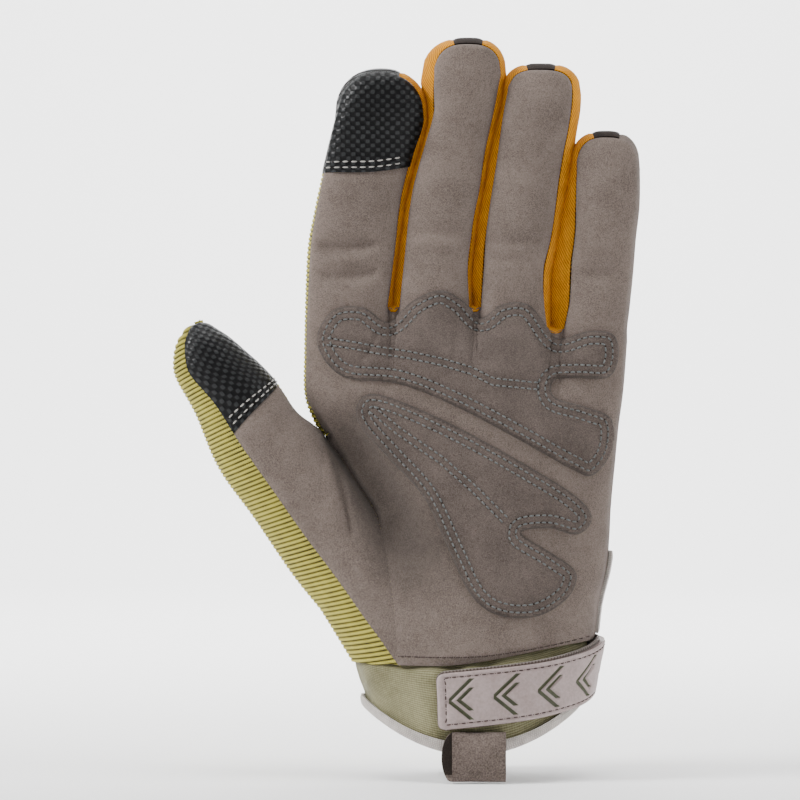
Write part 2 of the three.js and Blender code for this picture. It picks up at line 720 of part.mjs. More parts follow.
const handSkin = skinOf([...palmBlocks, ...backBlocks, ...betweenBlocks, ...tabBlocks, capBlock]);
const palm = panel(palmBlocks, suedeWall, handSkin);
const back = panel(backBlocks, knitWall, handSkin);
const between = betweenBlocks.map((block) => panel([block], fourchetteWall, handSkin));
const tabs = tabBlocks.map((block) => panel([block], fourchetteWall, handSkin));
const tip = panel([capBlock], capWall, handSkin);

const thumbSuede = panel([front(thumbFront(0, 1))], suedeWall);
const thumbTipCap = panel([front(thumbFront(1, 2))], capWall);
const thumbKnit = panel([front(thumbBack())], knitWall);

// A ring round the wrist: rows of points, each row a share of the way up.
function aroundWrist(rows, point) {
  return grid(rows, steps(roundColumns, 0, 2 * Math.PI), (row, turn) => point(turn, row));
}

const cuffHeights = cuff.map((row) => row.height);
const wristCuff = panel([front(aroundWrist(cuffHeights, cuffPoint))], cuffWall);

// Folded binding over the hem: its section runs up the outside, over the edge and down the inside.
function bindingSection(grow) {
  const slot = 1.5 * clearance;
  const outside = slot + bindingWall + grow;
  const inside = -cuffWall - slot - bindingWall - grow;
  return [
    [outside, bindingHeight + grow], [slot - grow, bindingHeight + grow],
    [slot - grow, bindingWall + grow], [-cuffWall - slot + grow, bindingWall + grow],
    [-cuffWall - slot + grow, bindingHeight + grow], [inside, bindingHeight + grow],
    [inside, -grow], [outside, -grow], [outside, bindingHeight + grow],
  ];
}

function binding(grow) {
  const [hem] = cuff;
  const rows = bindingSection(grow).map(([out, up]) => (
    steps(roundColumns, 0, 2 * Math.PI).map((turn) => (
      ovalPoint(turn, hemHeight(turn) + up, hem.halfWidth + out, hem.front + out, hem.back + out)))));
  const { points, faces } = makeSheet([front(rows)]);
  return solidFrom(points.flatMap((point) => point.toArray()), triangles({ points, faces }).flat());
}

const hemBinding = { body: binding(0), room: binding(clearance) };

const vent = makeSheet([front(ventStrip())]);
const ventBinding = {
  body: wall(vent, ventGap + ventWall, -ventGap, 0),
  room: wall(vent, ventGap + ventWall + clearance, 0, clearance),
};

// Strap of rubber on a backing that shows as a narrow edge round it.
const strapTurns = steps(strapSteps, strapRoute[0].turn, strapRoute[strapRoute.length - 1].turn);
const strapSheet = makeSheet([rear(grid(strapTurns, steps(3, -1, 1), strapPoint))]);
const strapLift = strapBackingWall + clearance;
const backing = {
  body: wall(strapSheet, strapBackingWall, 0, strapBackingEdge),
  room: wall(strapSheet, strapLift, clearance, strapBackingEdge + clearance),
};
const strap = {
  body: wall(strapSheet, strapLift + strapRubberWall, -strapLift, 0),
  room: wall(strapSheet, strapLift + strapRubberWall + clearance, clearance - strapLift, clearance),
};

// A solid made by moving a flat outline, given in x and z, back along the palm's depth.
function prism(outline, from, to) {
  const shape = new THREE.Shape(outline.map(({ x, z }) => new THREE.Vector2(x, z)));
  const geometry = new THREE.ExtrudeGeometry(shape, { depth: to - from, bevelEnabled: false });
  return solidOfGeometry(geometry.rotateX(Math.PI / 2).translate(0, to, 0));
}

// A sewn-on pad that lies on the palm inside its outline.
function pad(outline) {
  const knots = outline.map(({ x, z }) => new THREE.Vector3(x, 0, z));
  const curve = new THREE.CatmullRomCurve3(knots, true);
  const slab = wall(palm.sheet, padGap + padWall, -padGap, 0, handSkin);
  return slab.intersect(prism(curve.getPoints(padOutlineSteps).slice(1), -padReach, 0));
}

// Pull loop: a folded strip, hollow along X, whose upper end lies on the hem binding.
function pullLoop() {
  const outer = new THREE.Shape();
  const deep = loopHollow + 2 * loopWall;
  const inner = loopBottom + loopWall;
  const joint = inner + loopHollowHeight;
  outer.moveTo(0, loopTop);
  outer.lineTo(0, loopBottom + loopRound);
  outer.lineTo(loopRound / 2, loopBottom);
  outer.lineTo(deep - loopRound / 2, loopBottom);
  outer.lineTo(deep, loopBottom + loopRound);
  outer.lineTo(deep, joint);
  outer.lineTo(deep - loopRound / 2, joint + loopWall);
  outer.lineTo(loopWall, joint + loopWall);
  outer.lineTo(loopWall, loopTop);
  const hollow = new THREE.Path();
  hollow.moveTo(loopWall, inner);
  hollow.lineTo(loopWall + loopHollow, inner);
  hollow.lineTo(loopWall + loopHollow, joint);
  hollow.lineTo(loopWall, joint);
  outer.holes.push(hollow);
  const width = loopRight - loopLeft;
  const geometry = new THREE.ExtrudeGeometry(outer, { depth: width, bevelEnabled: false });
  // The shape's own x runs back along Y, its y up, and its length along X.
  geometry.applyMatrix4(new THREE.Matrix4().makeBasis(
    new THREE.Vector3(0, 1, 0), new THREE.Vector3(0, 0, 1), new THREE.Vector3(1, 0, 0),
  ));
  return solidOfGeometry(geometry.translate(loopLeft, loopFront, 0));
}

// Block at the thumb's tip, where the cap has the front half and the knit the back half.
function thumbTipBlock(from, to) {
  const tipRow = thumb[thumb.length - 1];
  const outline = [[-1, -1], [1, -1], [1, 1], [-1, 1]].map(([across, up]) => (
    { x: tipRow.outerX + across * thumbTipWidth, z: tipRow.outerZ + up * thumbTipHeight }));
  return { room: prism(outline, tipRow.y + from, tipRow.y + to) };
}

const group = new THREE.Group();

function addNode(name, solid, colour, roughness = 0.9) {
  const { vertProperties, triVerts } = solid.getMesh();
  const geometry = new THREE.BufferGeometry();
  geometry.setAttribute('position', new THREE.BufferAttribute(Float32Array.from(vertProperties), 3));
  geometry.setIndex(new THREE.BufferAttribute(Uint32Array.from(triVerts), 1));
  const material = new THREE.MeshStandardMaterial({ color: colour, roughness, metalness: 0 });
  const mesh = new THREE.Mesh(geometry, material);
  mesh.name = name;
  group.add(mesh);
}

const betweenNames = ['fourchette_index_middle', 'fourchette_middle_ring', 'fourchette_ring_little'];
const tabNames = ['tab_middle', 'tab_ring', 'tab_little'];

addNode('palm_panel', palm.body, colours.suede);
addNode('back_panel', keepClear(back.body, [palm.seam]), colours.knit);
between.forEach((piece, web) => {
  addNode(betweenNames[web], keepClear(piece.body, [palm.seam, back.seam]), colours.ochre);
});
tabs.forEach((piece, place) => {
  const seams = [palm, back, ...between].map((neighbour) => neighbour.seam);
  addNode(tabNames[place], keepClear(piece.body, seams), colours.loop);
});
addNode('index_cap', keepClear(tip.body, [palm.seam, back.seam, between[0].seam]), colours.black, 0.5);
addNode('thumb_panel', keepClear(thumbSuede.body, [palm, back]), colours.suede);
addNode('thumb_knit', keepClear(
  thumbKnit.body,
  [palm, back, thumbSuede, thumbTipCap, thumbTipBlock(-thumbTipDepth, clearance)],
), colours.knit);
addNode('thumb_cap', keepClear(thumbTipCap.body, [thumbSuede, thumbTipBlock(0, thumbTipDepth)]), colours.black, 0.5);
addNode('upper_palm_pad', pad(upperPadOutline), colours.suede);
addNode('lower_palm_pad', pad(lowerPadOutline), colours.suede);
addNode('cuff', keepClear(wristCuff.body, [palm, back, thumbSuede, thumbKnit]), colours.cuff);
addNode('hem_binding', hemBinding.body, colours.binding);
addNode('vent_binding', ventBinding.body, colours.binding);
addNode('strap_backing', keepClear(
  backing.body,
  [wristCuff, hemBinding, palm, back, ventBinding],
), colours.backing);
addNode('wrist_strap', keepClear(strap.body, [hemBinding, ventBinding]), colours.rubber, 0.6);
addNode('pull_loop', keepClear(pullLoop(), [hemBinding, wristCuff]), colours.loop);

export default group;
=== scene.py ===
# %% [markdown]
# # A left-hand work glove, shown worn
# The glove stands with its palm to the camera, its fingers up and its thumb to the left, filled as
# if a hand were in it. Everything is worked out in millimetres in the frame's own axes (palm to -Y,
# thumb to -X, fingers to +Z, origin in the wrist opening) and becomes metres when a mesh is made.

import math

import bpy
import numpy as np
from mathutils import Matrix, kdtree
from mathutils.bvhtree import BVHTree


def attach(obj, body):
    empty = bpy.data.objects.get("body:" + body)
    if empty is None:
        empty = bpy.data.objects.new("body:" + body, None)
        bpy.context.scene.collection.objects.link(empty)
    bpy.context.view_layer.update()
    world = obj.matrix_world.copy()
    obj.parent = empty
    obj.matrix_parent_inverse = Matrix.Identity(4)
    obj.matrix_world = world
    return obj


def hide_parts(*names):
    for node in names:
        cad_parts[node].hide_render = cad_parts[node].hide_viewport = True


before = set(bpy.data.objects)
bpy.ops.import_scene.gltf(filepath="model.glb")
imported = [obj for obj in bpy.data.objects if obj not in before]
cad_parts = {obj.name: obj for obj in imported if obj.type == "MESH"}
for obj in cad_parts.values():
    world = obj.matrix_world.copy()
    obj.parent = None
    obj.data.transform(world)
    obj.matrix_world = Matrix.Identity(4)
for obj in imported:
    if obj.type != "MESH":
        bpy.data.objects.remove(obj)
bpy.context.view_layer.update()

# %% [markdown]
# ## Camera
# The photograph was taken from far off with a long lens, level with the palm, so the camera stands
# 1.27 m away and looks straight along +Y. A wide lens from close by would frame the glove as well,
# but it would swell the fingers that lean towards it.

# %% Camera
MILLIMETRE = 0.001
CAMERA_PLACE = (-0.0235, -1.265, 0.1196)
CAMERA_LENS = 167.5
CAMERA_SENSOR = 36
CAMERA_REACH = 20

bpy.ops.object.select_all(action="DESELECT")
bpy.ops.object.camera_add(location=CAMERA_PLACE, rotation=(math.radians(90), 0, 0))
camera = bpy.context.object
camera.name = "camera"
camera.data.lens = CAMERA_LENS
camera.data.sensor_width = CAMERA_SENSOR
camera.data.clip_end = CAMERA_REACH
bpy.context.scene.camera = camera
print("camera lens", camera.data.lens)

# %% [markdown]
# ## Tables
# The glove is a tube for the hand that turns into four separate fingers, with a thumb on the side.
# A few measured sections describe it, and smooth curves through them give every point between. It
# could be sculpted instead, but these tables are the same as the CAD part's, so that what is drawn
# and what collides agree.

# %% Tables of the hand
HAND = {
    "z": (30, 50, 63, 73, 83, 92, 100, 107, 112, 121, 135, 151),
    "seam": (-24, -25.6, -27.3, -29.2, -32.4, -38.1, -43.3, -48.7, -51.8, -55, -55.2, -54.9),
    "left": (-39.5, -44.5, -46.5, -47.5, -48.2, -48.6, -49, -49.4, -52, -55.1, -55.3, -55),
    "right": (41, 42.9, 46, 47, 47.3, 47.9, 48.7, 49.4, 49.9, 51.1, 52.6, 54),
    "front": (24.5, 22.5, 21, 20, 19.2, 18.5, 17.9, 17.4, 17, 16.3, 15.3, 14),
    "back": (23.5, 20.5, 18.5, 17.5, 17, 16.5, 16, 15.6, 15.3, 14.8, 14, 13),
}
THUMB_CROTCH = 107
WRIST_LINE = 32
PALM_POWER = 2.5
FINGER_POWER = 2.3

FINGERS = (
    {
        "shoulder": 214.5, "top": 229.8, "front": 11.0, "back": 10.0, "arch": 2.3,
        "z": (151, 163, 173, 182, 191, 203, 211, 216),
        "left": (-54.9, -54.5, -53.7, -52, -50.1, -47.3, -45.3, -44),
        "right": (-27.2, -25.7, -24.4, -23.4, -21.9, -18.8, -16, -15.1),
        "side_left": (-55.9, -55.5, -54.8, -53.1, -51.2, -48.4, -46.4, -45.1),
        "side_right": (-26.2, -25.2, -23.7, -22.5, -20.7, -17.2, -14.7, -13.9),
    },
    {
        "shoulder": 229, "top": 240.2, "front": 11.2, "back": 10.2, "arch": 2.6,
        "z": (151, 163, 173, 182, 191, 203, 213, 220, 227, 232),
        "left": (-24.2, -22.7, -21.8, -20.9, -19.1, -15.6, -12.7, -12.7, -12.4, -11.5),
        "right": (0.4, 0, 1.2, 2.2, 4, 5.8, 7.7, 9.1, 10.5, 11.9),
        "side_left": (-25.9, -24.9, -23.4, -22.2, -20.4, -16.9, -14, -14.3, -15.9, -14.9),
        "side_right": (0.7, 0.5, 1.6, 2.7, 4.5, 6.6, 9, 10.7, 11.6, 12.6),
    },
    {
        "shoulder": 223, "top": 231.6, "front": 10.8, "back": 9.8, "arch": 2.8,
        "z": (143, 151, 163, 173, 182, 193, 202, 210, 218, 225),
        "left": (3, 3.4, 4.1, 4.8, 6.1, 7.7, 9.1, 10.5, 12, 13.3),
        "right": (26.6, 25.7, 25.7, 27.9, 29.3, 30.7, 32.1, 33.7, 34.9, 35.4),
        "side_left": (1, 1, 0.8, 1.9, 3, 5.2, 6.8, 8.6, 10.6, 11.9),
        "side_right": (27.4, 27.4, 27.7, 29.6, 31.1, 33.2, 34.7, 35.8, 37.1, 37.3),
    },
    {
        "shoulder": 198, "top": 209, "front": 9.8, "back": 9.0, "arch": 2.6,
        "z": (143, 151, 156, 165, 175, 185, 198),
        "left": (31.4, 33.2, 33.6, 33.9, 35.2, 35.5, 35.8),
        "right": (52.8, 53.6, 54, 54.8, 55.6, 56.6, 56.8),
        "side_left": (27.8, 27.7, 27.8, 28.4, 30.2, 31.9, 34.6),
        "side_right": (53.8, 54.6, 55, 55.9, 56.8, 57.8, 58),
    },
)
WEB_HEIGHTS = (151.2, 151.2, 143.8)
WEB_DEPTH = 6.5
WEB_DIP = 1.2
EDGE_DEPTH = 5.0
TIP_ROUNDING = 0.8
TIP_SWELL = 1.9
PALM_SWELL = 1.0
BLEND_BELOW = 28
BLEND_ABOVE = 6
print(len(FINGERS), "fingers")

# %% Tables of the thumb, cuff and strap
THUMB = {
    "ring": (1, 2, 3, 4, 5, 6, 7, 8, 9, 10, 11),
    "outer_x": (-50.5, -60.5, -73, -85.2, -92.8, -99.4, -100.3, -99.3, -97, -94.7, -91.5),
    "outer_z": (48.2, 60.8, 79.3, 96.6, 114.6, 126.7, 133, 138.6, 142.6, 145, 146.1),
    "inner_x": (-49.3, -50.6, -53, -58.5, -64.7, -70.3, -75.4, -80.4, -85, -88, -91.4),
    "inner_z": (107.8, 109.6, 111.5, 116, 125.4, 131.6, 136.2, 140.6, 143.7, 145.5, 146.1),
    "depth": (16.5, 15.8, 15, 14.2, 13, 11.6, 10, 8.2, 5.6, 3.2, 0),
    "y": (-2, -3, -4, -5, -6, -6.5, -7, -7, -7, -7, -7),
    "knit": (0.31, 0.32, 0.32, 0.34, 0.27, 0.19, 0.18, 0.17, 0.17, 0.17, 0.17),
}
THUMB_TIP = 11
CAP_AT_KNIT = 4.35
CAP_AT_INNER = 5.0
INDEX_CAP_LINE = 196.2
INDEX_CAP_RISE = 2.0

CUFF = {
    "height": (0, 0.14, 0.42, 0.74, 0.84, 1),
    "half_width": (36, 36, 38, 39.2, 37.4, 37.2),
    "front": (24, 24, 24.3, 24.2, 21.8, 21.4),
    "back": (23, 23, 23.2, 23, 20.8, 20.4),
}
CUFF_MIDDLE = 0.7
CUFF_TUCK = 6
HEM_SIDE = 15.5
HEM_DIP = 14.5
HEM_BACK_DIP = 3

STRAP_ROUTE = {
    "turn": (-107, -60, -30, 0, 45, 95),
    "middle": (19.2, 22.8, 26.2, 29.6, 30.6, 30.6),
}
STRAP_SEAT = {
    "z": (8, 20, 30, 40),
    "half_width": (37.8, 38.9, 40.6, 42.8),
    "front": (25.6, 25.7, 26.3, 27.6),
    "back": (24.8, 25, 25.6, 26.6),
}
print("thumb rings", THUMB_TIP)

# %% [markdown]
# ## Reading the tables
# numpy works on whole grids of places at once. `follow` draws a smooth curve through a table's
# column, and `dome` gives the rounded half of a cross-section. Blender's curve objects could do the
# same, but plain functions can also be asked where a fold or a stitch should lie.

# %% Curves through the tables
def mix(start, end, share):
    return start + (end - start) * share


def smooth_step(low, high, value):
    share = np.clip((value - low) / (high - low), 0, 1)
    return share * share * (3 - 2 * share)


def follow(table, column, place, key=None):
    """Smooth value of a table's column at places along its key column, held at both ends."""
    keys = np.array(table[key or next(iter(table))], float)
    values = np.array(table[column], float)
    place = np.clip(place, keys[0], keys[-1])
    row = np.clip(np.searchsorted(keys, place, side="right") - 1, 0, len(keys) - 2)
    before = np.maximum(np.arange(len(keys)) - 1, 0)
    after = np.minimum(np.arange(len(keys)) + 1, len(keys) - 1)
    slope = (values[after] - values[before]) / (keys[after] - keys[before])
    span = keys[row + 1] - keys[row]
    share = (place - keys[row]) / span
    rise = values[row + 1] - values[row]
    middle = values[row] + rise * share * share * (3 - 2 * share)
    bend = share * (1 - share) * span
    return middle + bend * (slope[row] * (1 - share) - slope[row + 1] * share)


def reached_along(path):
    """Length along a path at each of its points."""
    return np.concatenate([[0], np.cumsum(np.linalg.norm(np.diff(path, axis=0), axis=1))])


def open_curve(knots, count=8):
    """Smooth open curve through knots."""
    knots = np.asarray(knots, float)
    reached = reached_along(knots)
    table = {"along": reached, "a": knots[:, 0], "b": knots[:, 1]}
    places = np.linspace(0, reached[-1], count * (len(knots) - 1) + 1)
    return np.stack([follow(table, "a", places), follow(table, "b", places)], axis=1), places


def dome(edge, crown, reach, power):
    """Half-thickness of a rounded cross-section: edge at its rim, crown in its middle."""
    return edge + (crown - edge) * np.sqrt(np.maximum(0, 1 - np.abs(reach) ** power))


def stack(x, y, z):
    return np.stack(np.broadcast_arrays(x, y, z), axis=-1).astype(float)


print("palm is", round(float(follow(HAND, "front", 90.0)), 1), "mm deep in front at z 90")

# %% [markdown]
# ## The hand's surface
# Between the wrist and the finger roots the two faces are one wide, flat dome. Above the roots each
# finger is a dome of its own, and the two are blended over about 30 mm, which leaves the soft
# valleys that lead down from the gaps between the fingers. Tubes joined by a Boolean would leave
# hard corners there.

# %% Hand and fingers
CURL_START = 150
CURL_LENGTH = 90
CURL_FORWARD = 7
HEM_LEVEL = 30.9
HEM_RISE = 7.7
HEM_SLOPE = (-12, 46)
PALM_WIDEST = 53
CROTCH_EDGE = 4.5
CROTCH_RISE = 18


def curl(z):
    """Forward lean of the relaxed fingers."""
    share = np.maximum(0, (z - CURL_START) / CURL_LENGTH)
    return -CURL_FORWARD * share * share


def face_point(x, z, depth, face):
    return stack(x, curl(z) + (-depth if face == "front" else depth), z)


def hand_depth(x, z, face):
    left, right = follow(HAND, "left", z), follow(HAND, "right", z)
    across = np.clip((2 * x - left - right) / (right - left), -1, 1)
    left_edge = CROTCH_EDGE * smooth_step(THUMB_CROTCH, THUMB_CROTCH + CROTCH_RISE, z)
    edge = np.where(across < 0, left_edge, EDGE_DEPTH * np.minimum(1, across * 2))
    return dome(edge, follow(HAND, face, z), across, PALM_POWER)


def palm_hem(x):
    """Lower edge of the palm and of the knit, which the cuff goes under."""
    return HEM_LEVEL + HEM_RISE * smooth_step(*HEM_SLOPE, x)


def finger_root(finger, across):
    left = WEB_HEIGHTS[max(finger - 1, 0)]
    right = WEB_HEIGHTS[min(finger, len(WEB_HEIGHTS) - 1)]
    return mix(left, right, (across + 1) / 2)


def finger_height(finger, across, along):
    """Height on a finger: along runs from 0 at the root to 1 at the arch of the fingertip."""
    shape = FINGERS[finger]
    arc = np.maximum(0, 1 - np.abs(across) ** shape["arch"]) ** (1 / shape["arch"])
    crown = shape["shoulder"] + (shape["top"] - shape["shoulder"]) * arc
    return mix(finger_root(finger, across), crown, along)


def finger_side(finger, column, side, along):
    z = np.minimum(finger_height(finger, side, along), FINGERS[finger]["shoulder"] + 1)
    return follow(FINGERS[finger], column, z, key="z")


def finger_depth(finger, across, along, face):
    tip = np.maximum(0, (along - TIP_ROUNDING) / (1 - TIP_ROUNDING))
    crown = dome(EDGE_DEPTH, FINGERS[finger][face], tip, FINGER_POWER)
    return dome(EDGE_DEPTH, crown, across, FINGER_POWER)


def finger_point(finger, across, along, face):
    z = finger_height(finger, across, along)
    left = finger_side(finger, "left", -1, along)
    right = finger_side(finger, "right", 1, along)
    x = mix(left, right, (across + 1) / 2)
    root = finger_root(finger, across)
    share = smooth_step(root - BLEND_BELOW, root + BLEND_ABOVE, z)
    own = finger_depth(finger, across, along, face)
    return face_point(x, z, mix(hand_depth(x, z, face), own, share), face)


print("middle fingertip at z", finger_point(1, 0, 1, "front")[2].round(1))

# %% [markdown]
# The palm is one grid of columns, each finger's columns and a few between every two fingers for the
# web. A column is bunched towards the finger's edges, where the surface turns fastest.

# %% Palm columns
FINGER_COLUMNS = 24
WEB_COLUMNS = 8


def column_places(count=FINGER_COLUMNS):
    even = 2 * np.arange(count + 1) / count - 1
    return (np.sin(even * np.pi / 2) + even) / 2


TAB_REACH = column_places(6)[4]


def root_line(face, columns=FINGER_COLUMNS, webs=WEB_COLUMNS):
    """Columns of the hand at the finger roots: x, z and the finger's or web's own depth."""
    rows = []
    for finger in range(len(FINGERS)):
        for across in column_places(columns):
            point = finger_point(finger, across, 0.0, face)
            rows.append((point[0], point[2], float(finger_depth(finger, across, 0.0, face))))
        if finger < len(WEB_HEIGHTS):
            start = finger_point(finger, 1.0, 0.0, face)
            end = finger_point(finger + 1, -1.0, 0.0, face)
            for share in np.arange(1, webs) / webs:
                dip = math.sin(math.pi * share)
                x, _, z = mix(start, end, share)
                rows.append((x, z - WEB_DIP * dip, mix(EDGE_DEPTH, WEB_DEPTH, dip)))
    return np.array(rows).T


def palm_points(line, row, face):
    """Points below the finger roots: row runs from 0 at the hem to 1 at the roots."""
    root_x, root_z, own = line
    seam = follow(HAND, "seam", root_z)
    outer = finger_side(3, "right", 1, 0.0)
    fraction = (root_x - seam) / (outer - seam)
    hem_x = mix(follow(HAND, "seam", WRIST_LINE), follow(HAND, "right", WRIST_LINE), fraction)
    z = mix(palm_hem(hem_x), root_z, row)
    widest = np.minimum(follow(HAND, "right", z), PALM_WIDEST)
    x = mix(follow(HAND, "seam", z), widest, fraction)
    last = mix(seam, np.minimum(follow(HAND, "right", root_z), PALM_WIDEST), fraction)
    x = x + (root_x - last) * row
    share = smooth_step(root_z - BLEND_BELOW, root_z + BLEND_ABOVE, z)
    return face_point(x, z, mix(hand_depth(x, z, face), own, share), face)


def steps(count, start=0.0, end=1.0):
    return np.linspace(start, end, count + 1)


def rows_of(values):
    return np.asarray(values, float)[:, None]


print(root_line("front").shape[1], "columns across the palm")

# %% [markdown]
# The strips between the fingers, and the walls down the palm's outer side, join a front edge to a
# back edge and swell out between them. The swell is what shows as a coloured line beside a finger.

# %% Rims and strips
FINGER_TOUCH = 0.6


def finger_rim(finger, side, stop, rows, columns=FINGER_COLUMNS):
    """Places up one side of a finger and over its arch as far as stop: across and along."""
    up = [(float(side), along) for along in steps(rows)]
    places = column_places(columns)[::-1] * side
    over = [(across, 1.0) for across in places if across * side < 1 and across * side >= stop - 1e-6]
    return np.array(up + over)


def rim_rows(finger, places):
    """Front edge, back edge and swell at each place of a finger's rim."""
    across, along = places.T
    side = np.sign(places[0, 0]) if places[0, 0] else 1.0
    name = "left" if side < 0 else "right"
    edge = finger_side(finger, name, side, along)
    widest = finger_side(finger, f"side_{name}", side, along)
    if 0 <= finger + side < len(FINGERS):
        widest = widest + side * FINGER_TOUCH
    turn = np.abs(across)
    over = stack(np.sign(across) * turn ** 2, 0, 1.02 - turn ** 3)
    over /= np.linalg.norm(over, axis=-1, keepdims=True)
    over *= mix(TIP_SWELL, np.abs(widest - edge), turn ** 4)[:, None]
    swell = np.where((along < 1)[:, None], stack(widest - edge, 0, 0), over)
    front = finger_point(finger, across, along, "front")
    return front, finger_point(finger, across, along, "back"), swell


def side_rows(side, count):
    """Edges down the palm's outer side: the index finger's for -1, the little finger's for 1."""
    lines = [root_line(face)[:, [0 if side < 0 else -1]] for face in ("front", "back")]
    rows = rows_of(steps(count))
    front = palm_points(lines[0], rows, "front")[:, 0]
    back = palm_points(lines[1], rows, "back")[:, 0]
    return front, back, stack(PALM_SWELL * side, 0, 0)


def strip(rows, count):
    """A strip's points from its front edge (first column) to its back edge (last)."""
    front, back, swell = rows
    share = steps(count)[:, None, None]
    points = mix(front, back, share) + swell * np.sin(np.pi * share)
    return np.swapaxes(points, 0, 1)


print("little finger rim has", len(finger_rim(3, 1, TAB_REACH, 40)), "places")

# %% [markdown]
# ## Cloth sheets
# Cloth and leather are modelled as what they are: a thin skin with a thickness. A `Sheet` joins
# grids of points where they meet and knows its normals and its cut edge. Folds are pressed into it
# before it becomes a mesh, and a Solidify modifier then gives it its wall.

# %% Sheet
WELD = 0.005
SHARP = math.radians(50)
# How deep the cut edges of each cloth are rolled in, and how wide the roll is, in mm.
ROLLED = {
    "palm suede": (0.7, 1.3),
    "thumb suede": (0.6, 1.1),
    "knit": (0.5, 1.2),
    "strip": (0.45, 0.9),
    "vent tape": (0.4, 0.8),
    "tab or cap": (0.35, 0.8),
}
# Size and height of the soft waves in each stuffed cloth, in mm, and where the waves start.
WAVES = {
    "palm suede": (13.0, 0.35, 0.0),
    "thumb suede": (13.0, 0.3, 4.0),
    "pad": (7.0, 0.12, 2.0),
    "cuff": (12.0, 0.25, 0.0),
}


def pattern_of(points, u_axis=0):
    """Pattern coordinates straight from the points' x (or y) and z, in millimetres."""
    return points[..., [u_axis, 2]]


def along_pattern(points):
    """Pattern coordinates measured on the surface: u along each row and v up the columns."""
    across = np.linalg.norm(np.diff(points, axis=1, prepend=points[:, :1]), axis=-1)
    up = np.linalg.norm(np.diff(points, axis=0, prepend=points[:1]), axis=-1)
    u = np.cumsum(across, axis=1)
    v = np.cumsum(up.mean(axis=1, keepdims=True), axis=0)
    return np.stack(np.broadcast_arrays(u - u[:, -1:] / 2, v), axis=-1)


def tree_of(points):
    """Search tree that finds the nearest of some points."""
    tree = kdtree.KDTree(len(points))
    for index, point in enumerate(points):
        tree.insert(point, index)
    tree.balance()
    return tree


def mesh_piece(name, points, faces):
    """A new object at the origin, selected and active, with its place in its mesh, in metres."""
    mesh = bpy.data.meshes.new(name)
    mesh.from_pydata(points * MILLIMETRE, [], faces)
    piece = bpy.data.objects.new(name, mesh)
    bpy.context.collection.objects.link(piece)
    bpy.ops.object.select_all(action="DESELECT")
    piece.select_set(True)
    bpy.context.view_layer.objects.active = piece
    return piece


class Sheet:
    """Grids of points joined where they meet. A grid is (points, pattern, faces_back)."""

    def __init__(self, *grids):
        places, patterns, quads, start = [], [], [], 0
        for points, pattern, faces_back in grids:
            rows, columns = points.shape[:2]
            index = np.arange(rows * columns).reshape(rows, columns) + start
            corners = (index[:-1, :-1], index[:-1, 1:], index[1:, 1:], index[1:, :-1])
            quad = np.stack(corners, axis=-1).reshape(-1, 4)
            quads.append(quad[:, ::-1] if faces_back else quad)
            places.append(points.reshape(-1, 3))
            patterns.append(pattern.reshape(-1, 2))
            start += rows * columns
        places = np.concatenate(places)
        keys = np.round(places / WELD).astype(int)
        _, first, known = np.unique(keys, axis=0, return_index=True, return_inverse=True)
        self.points = places[first]
        self.pattern = np.concatenate(patterns)[first]
        self.quads = known.reshape(-1)[np.concatenate(quads)]

    def normals(self):
        a, b, c, d = (self.points[self.quads[:, corner]] for corner in range(4))
        face = np.cross(c - a, d - b)
        total = np.zeros_like(self.points)
        for corner in range(4):
            np.add.at(total, self.quads[:, corner], face)
        return total / np.maximum(np.linalg.norm(total, axis=1, keepdims=True), 1e-9)

    def border(self):
        """Points on the cut edge: the ends of the edges that only one face has."""
        ends = np.concatenate([self.quads[:, [i, (i + 1) % 4]] for i in range(4)])
        ends = np.sort(ends[ends[:, 0] != ends[:, 1]], axis=1)
        edges, uses = np.unique(ends, axis=0, return_counts=True)
        return np.unique(edges[uses == 1])

    def edge_distance(self):
        """Distance of each point from the cut edge."""
        tree = tree_of(self.points[self.border()])
        return np.array([tree.find(point)[2] for point in self.points])

    def lift(self, amount):
        self.points = self.points + self.normals() * np.reshape(amount, (-1, 1))

    def press(self, amount):
        """Moves points straight back, so that two sheets that meet stay together."""
        self.points[:, 1] += amount

    def sink_edges(self, cloth, share=1.0):
        """Rolls the cut edges inwards, as a turned seam does."""
        depth, width = ROLLED[cloth]
        self.lift(-depth * share * np.exp(-(self.edge_distance() / width) ** 2))

    def faces(self):
        plain = []
        for quad in self.quads.tolist():
            corners = list(dict.fromkeys(quad))
            if len(corners) > 2:
                plain.append(corners)
        return plain

    def ground(self):
        """The sheet as a surface that stitches are set on."""
        return Ground(self.points, self.faces(), self.normals())

    def make(self, name, wall, material, slot, *nodes):
        """The finished piece: wall is its thickness inwards in millimetres."""
        piece = mesh_piece(name, self.points, self.faces())
        mesh = piece.data
        corners = np.empty(len(mesh.loops), np.int32)
        mesh.loops.foreach_get("vertex_index", corners)
        layer = mesh.uv_layers.new(name="pattern")
        layer.data.foreach_set("uv", self.pattern[corners].ravel().astype(np.float32))
        bpy.ops.object.modifier_add(type="SOLIDIFY")
        solid = piece.modifiers[-1]
        solid.thickness = wall * MILLIMETRE
        solid.offset = -1
        bpy.ops.object.modifier_apply(modifier=solid.name)
        bpy.ops.object.shade_smooth_by_angle(angle=SHARP)
        print(name, len(piece.data.polygons), "faces")
        piece.data.materials.append(material)
        return settle(piece, slot, *nodes)


def sheet_of(points):
    """A sheet of one grid with the pattern measured on it."""
    return Sheet((points, along_pattern(points), False))


def settle(piece, slot, *nodes):
    """Says what the piece rides on and which CAD nodes it stands for; its slot is not used."""
    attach(piece, "root")
    if nodes:
        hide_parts(*nodes)
    return piece


print("cloth edges are welded at", WELD, "mm")

# %% [markdown]
# ## Folds
# A worn glove creases where the hand bends. A fold is a short path on the palm side, given by the
# x and z of its bends, with a depth and a width. It fades out at both ends. A cloth simulation
# makes folds too, but not where the photograph shows them.

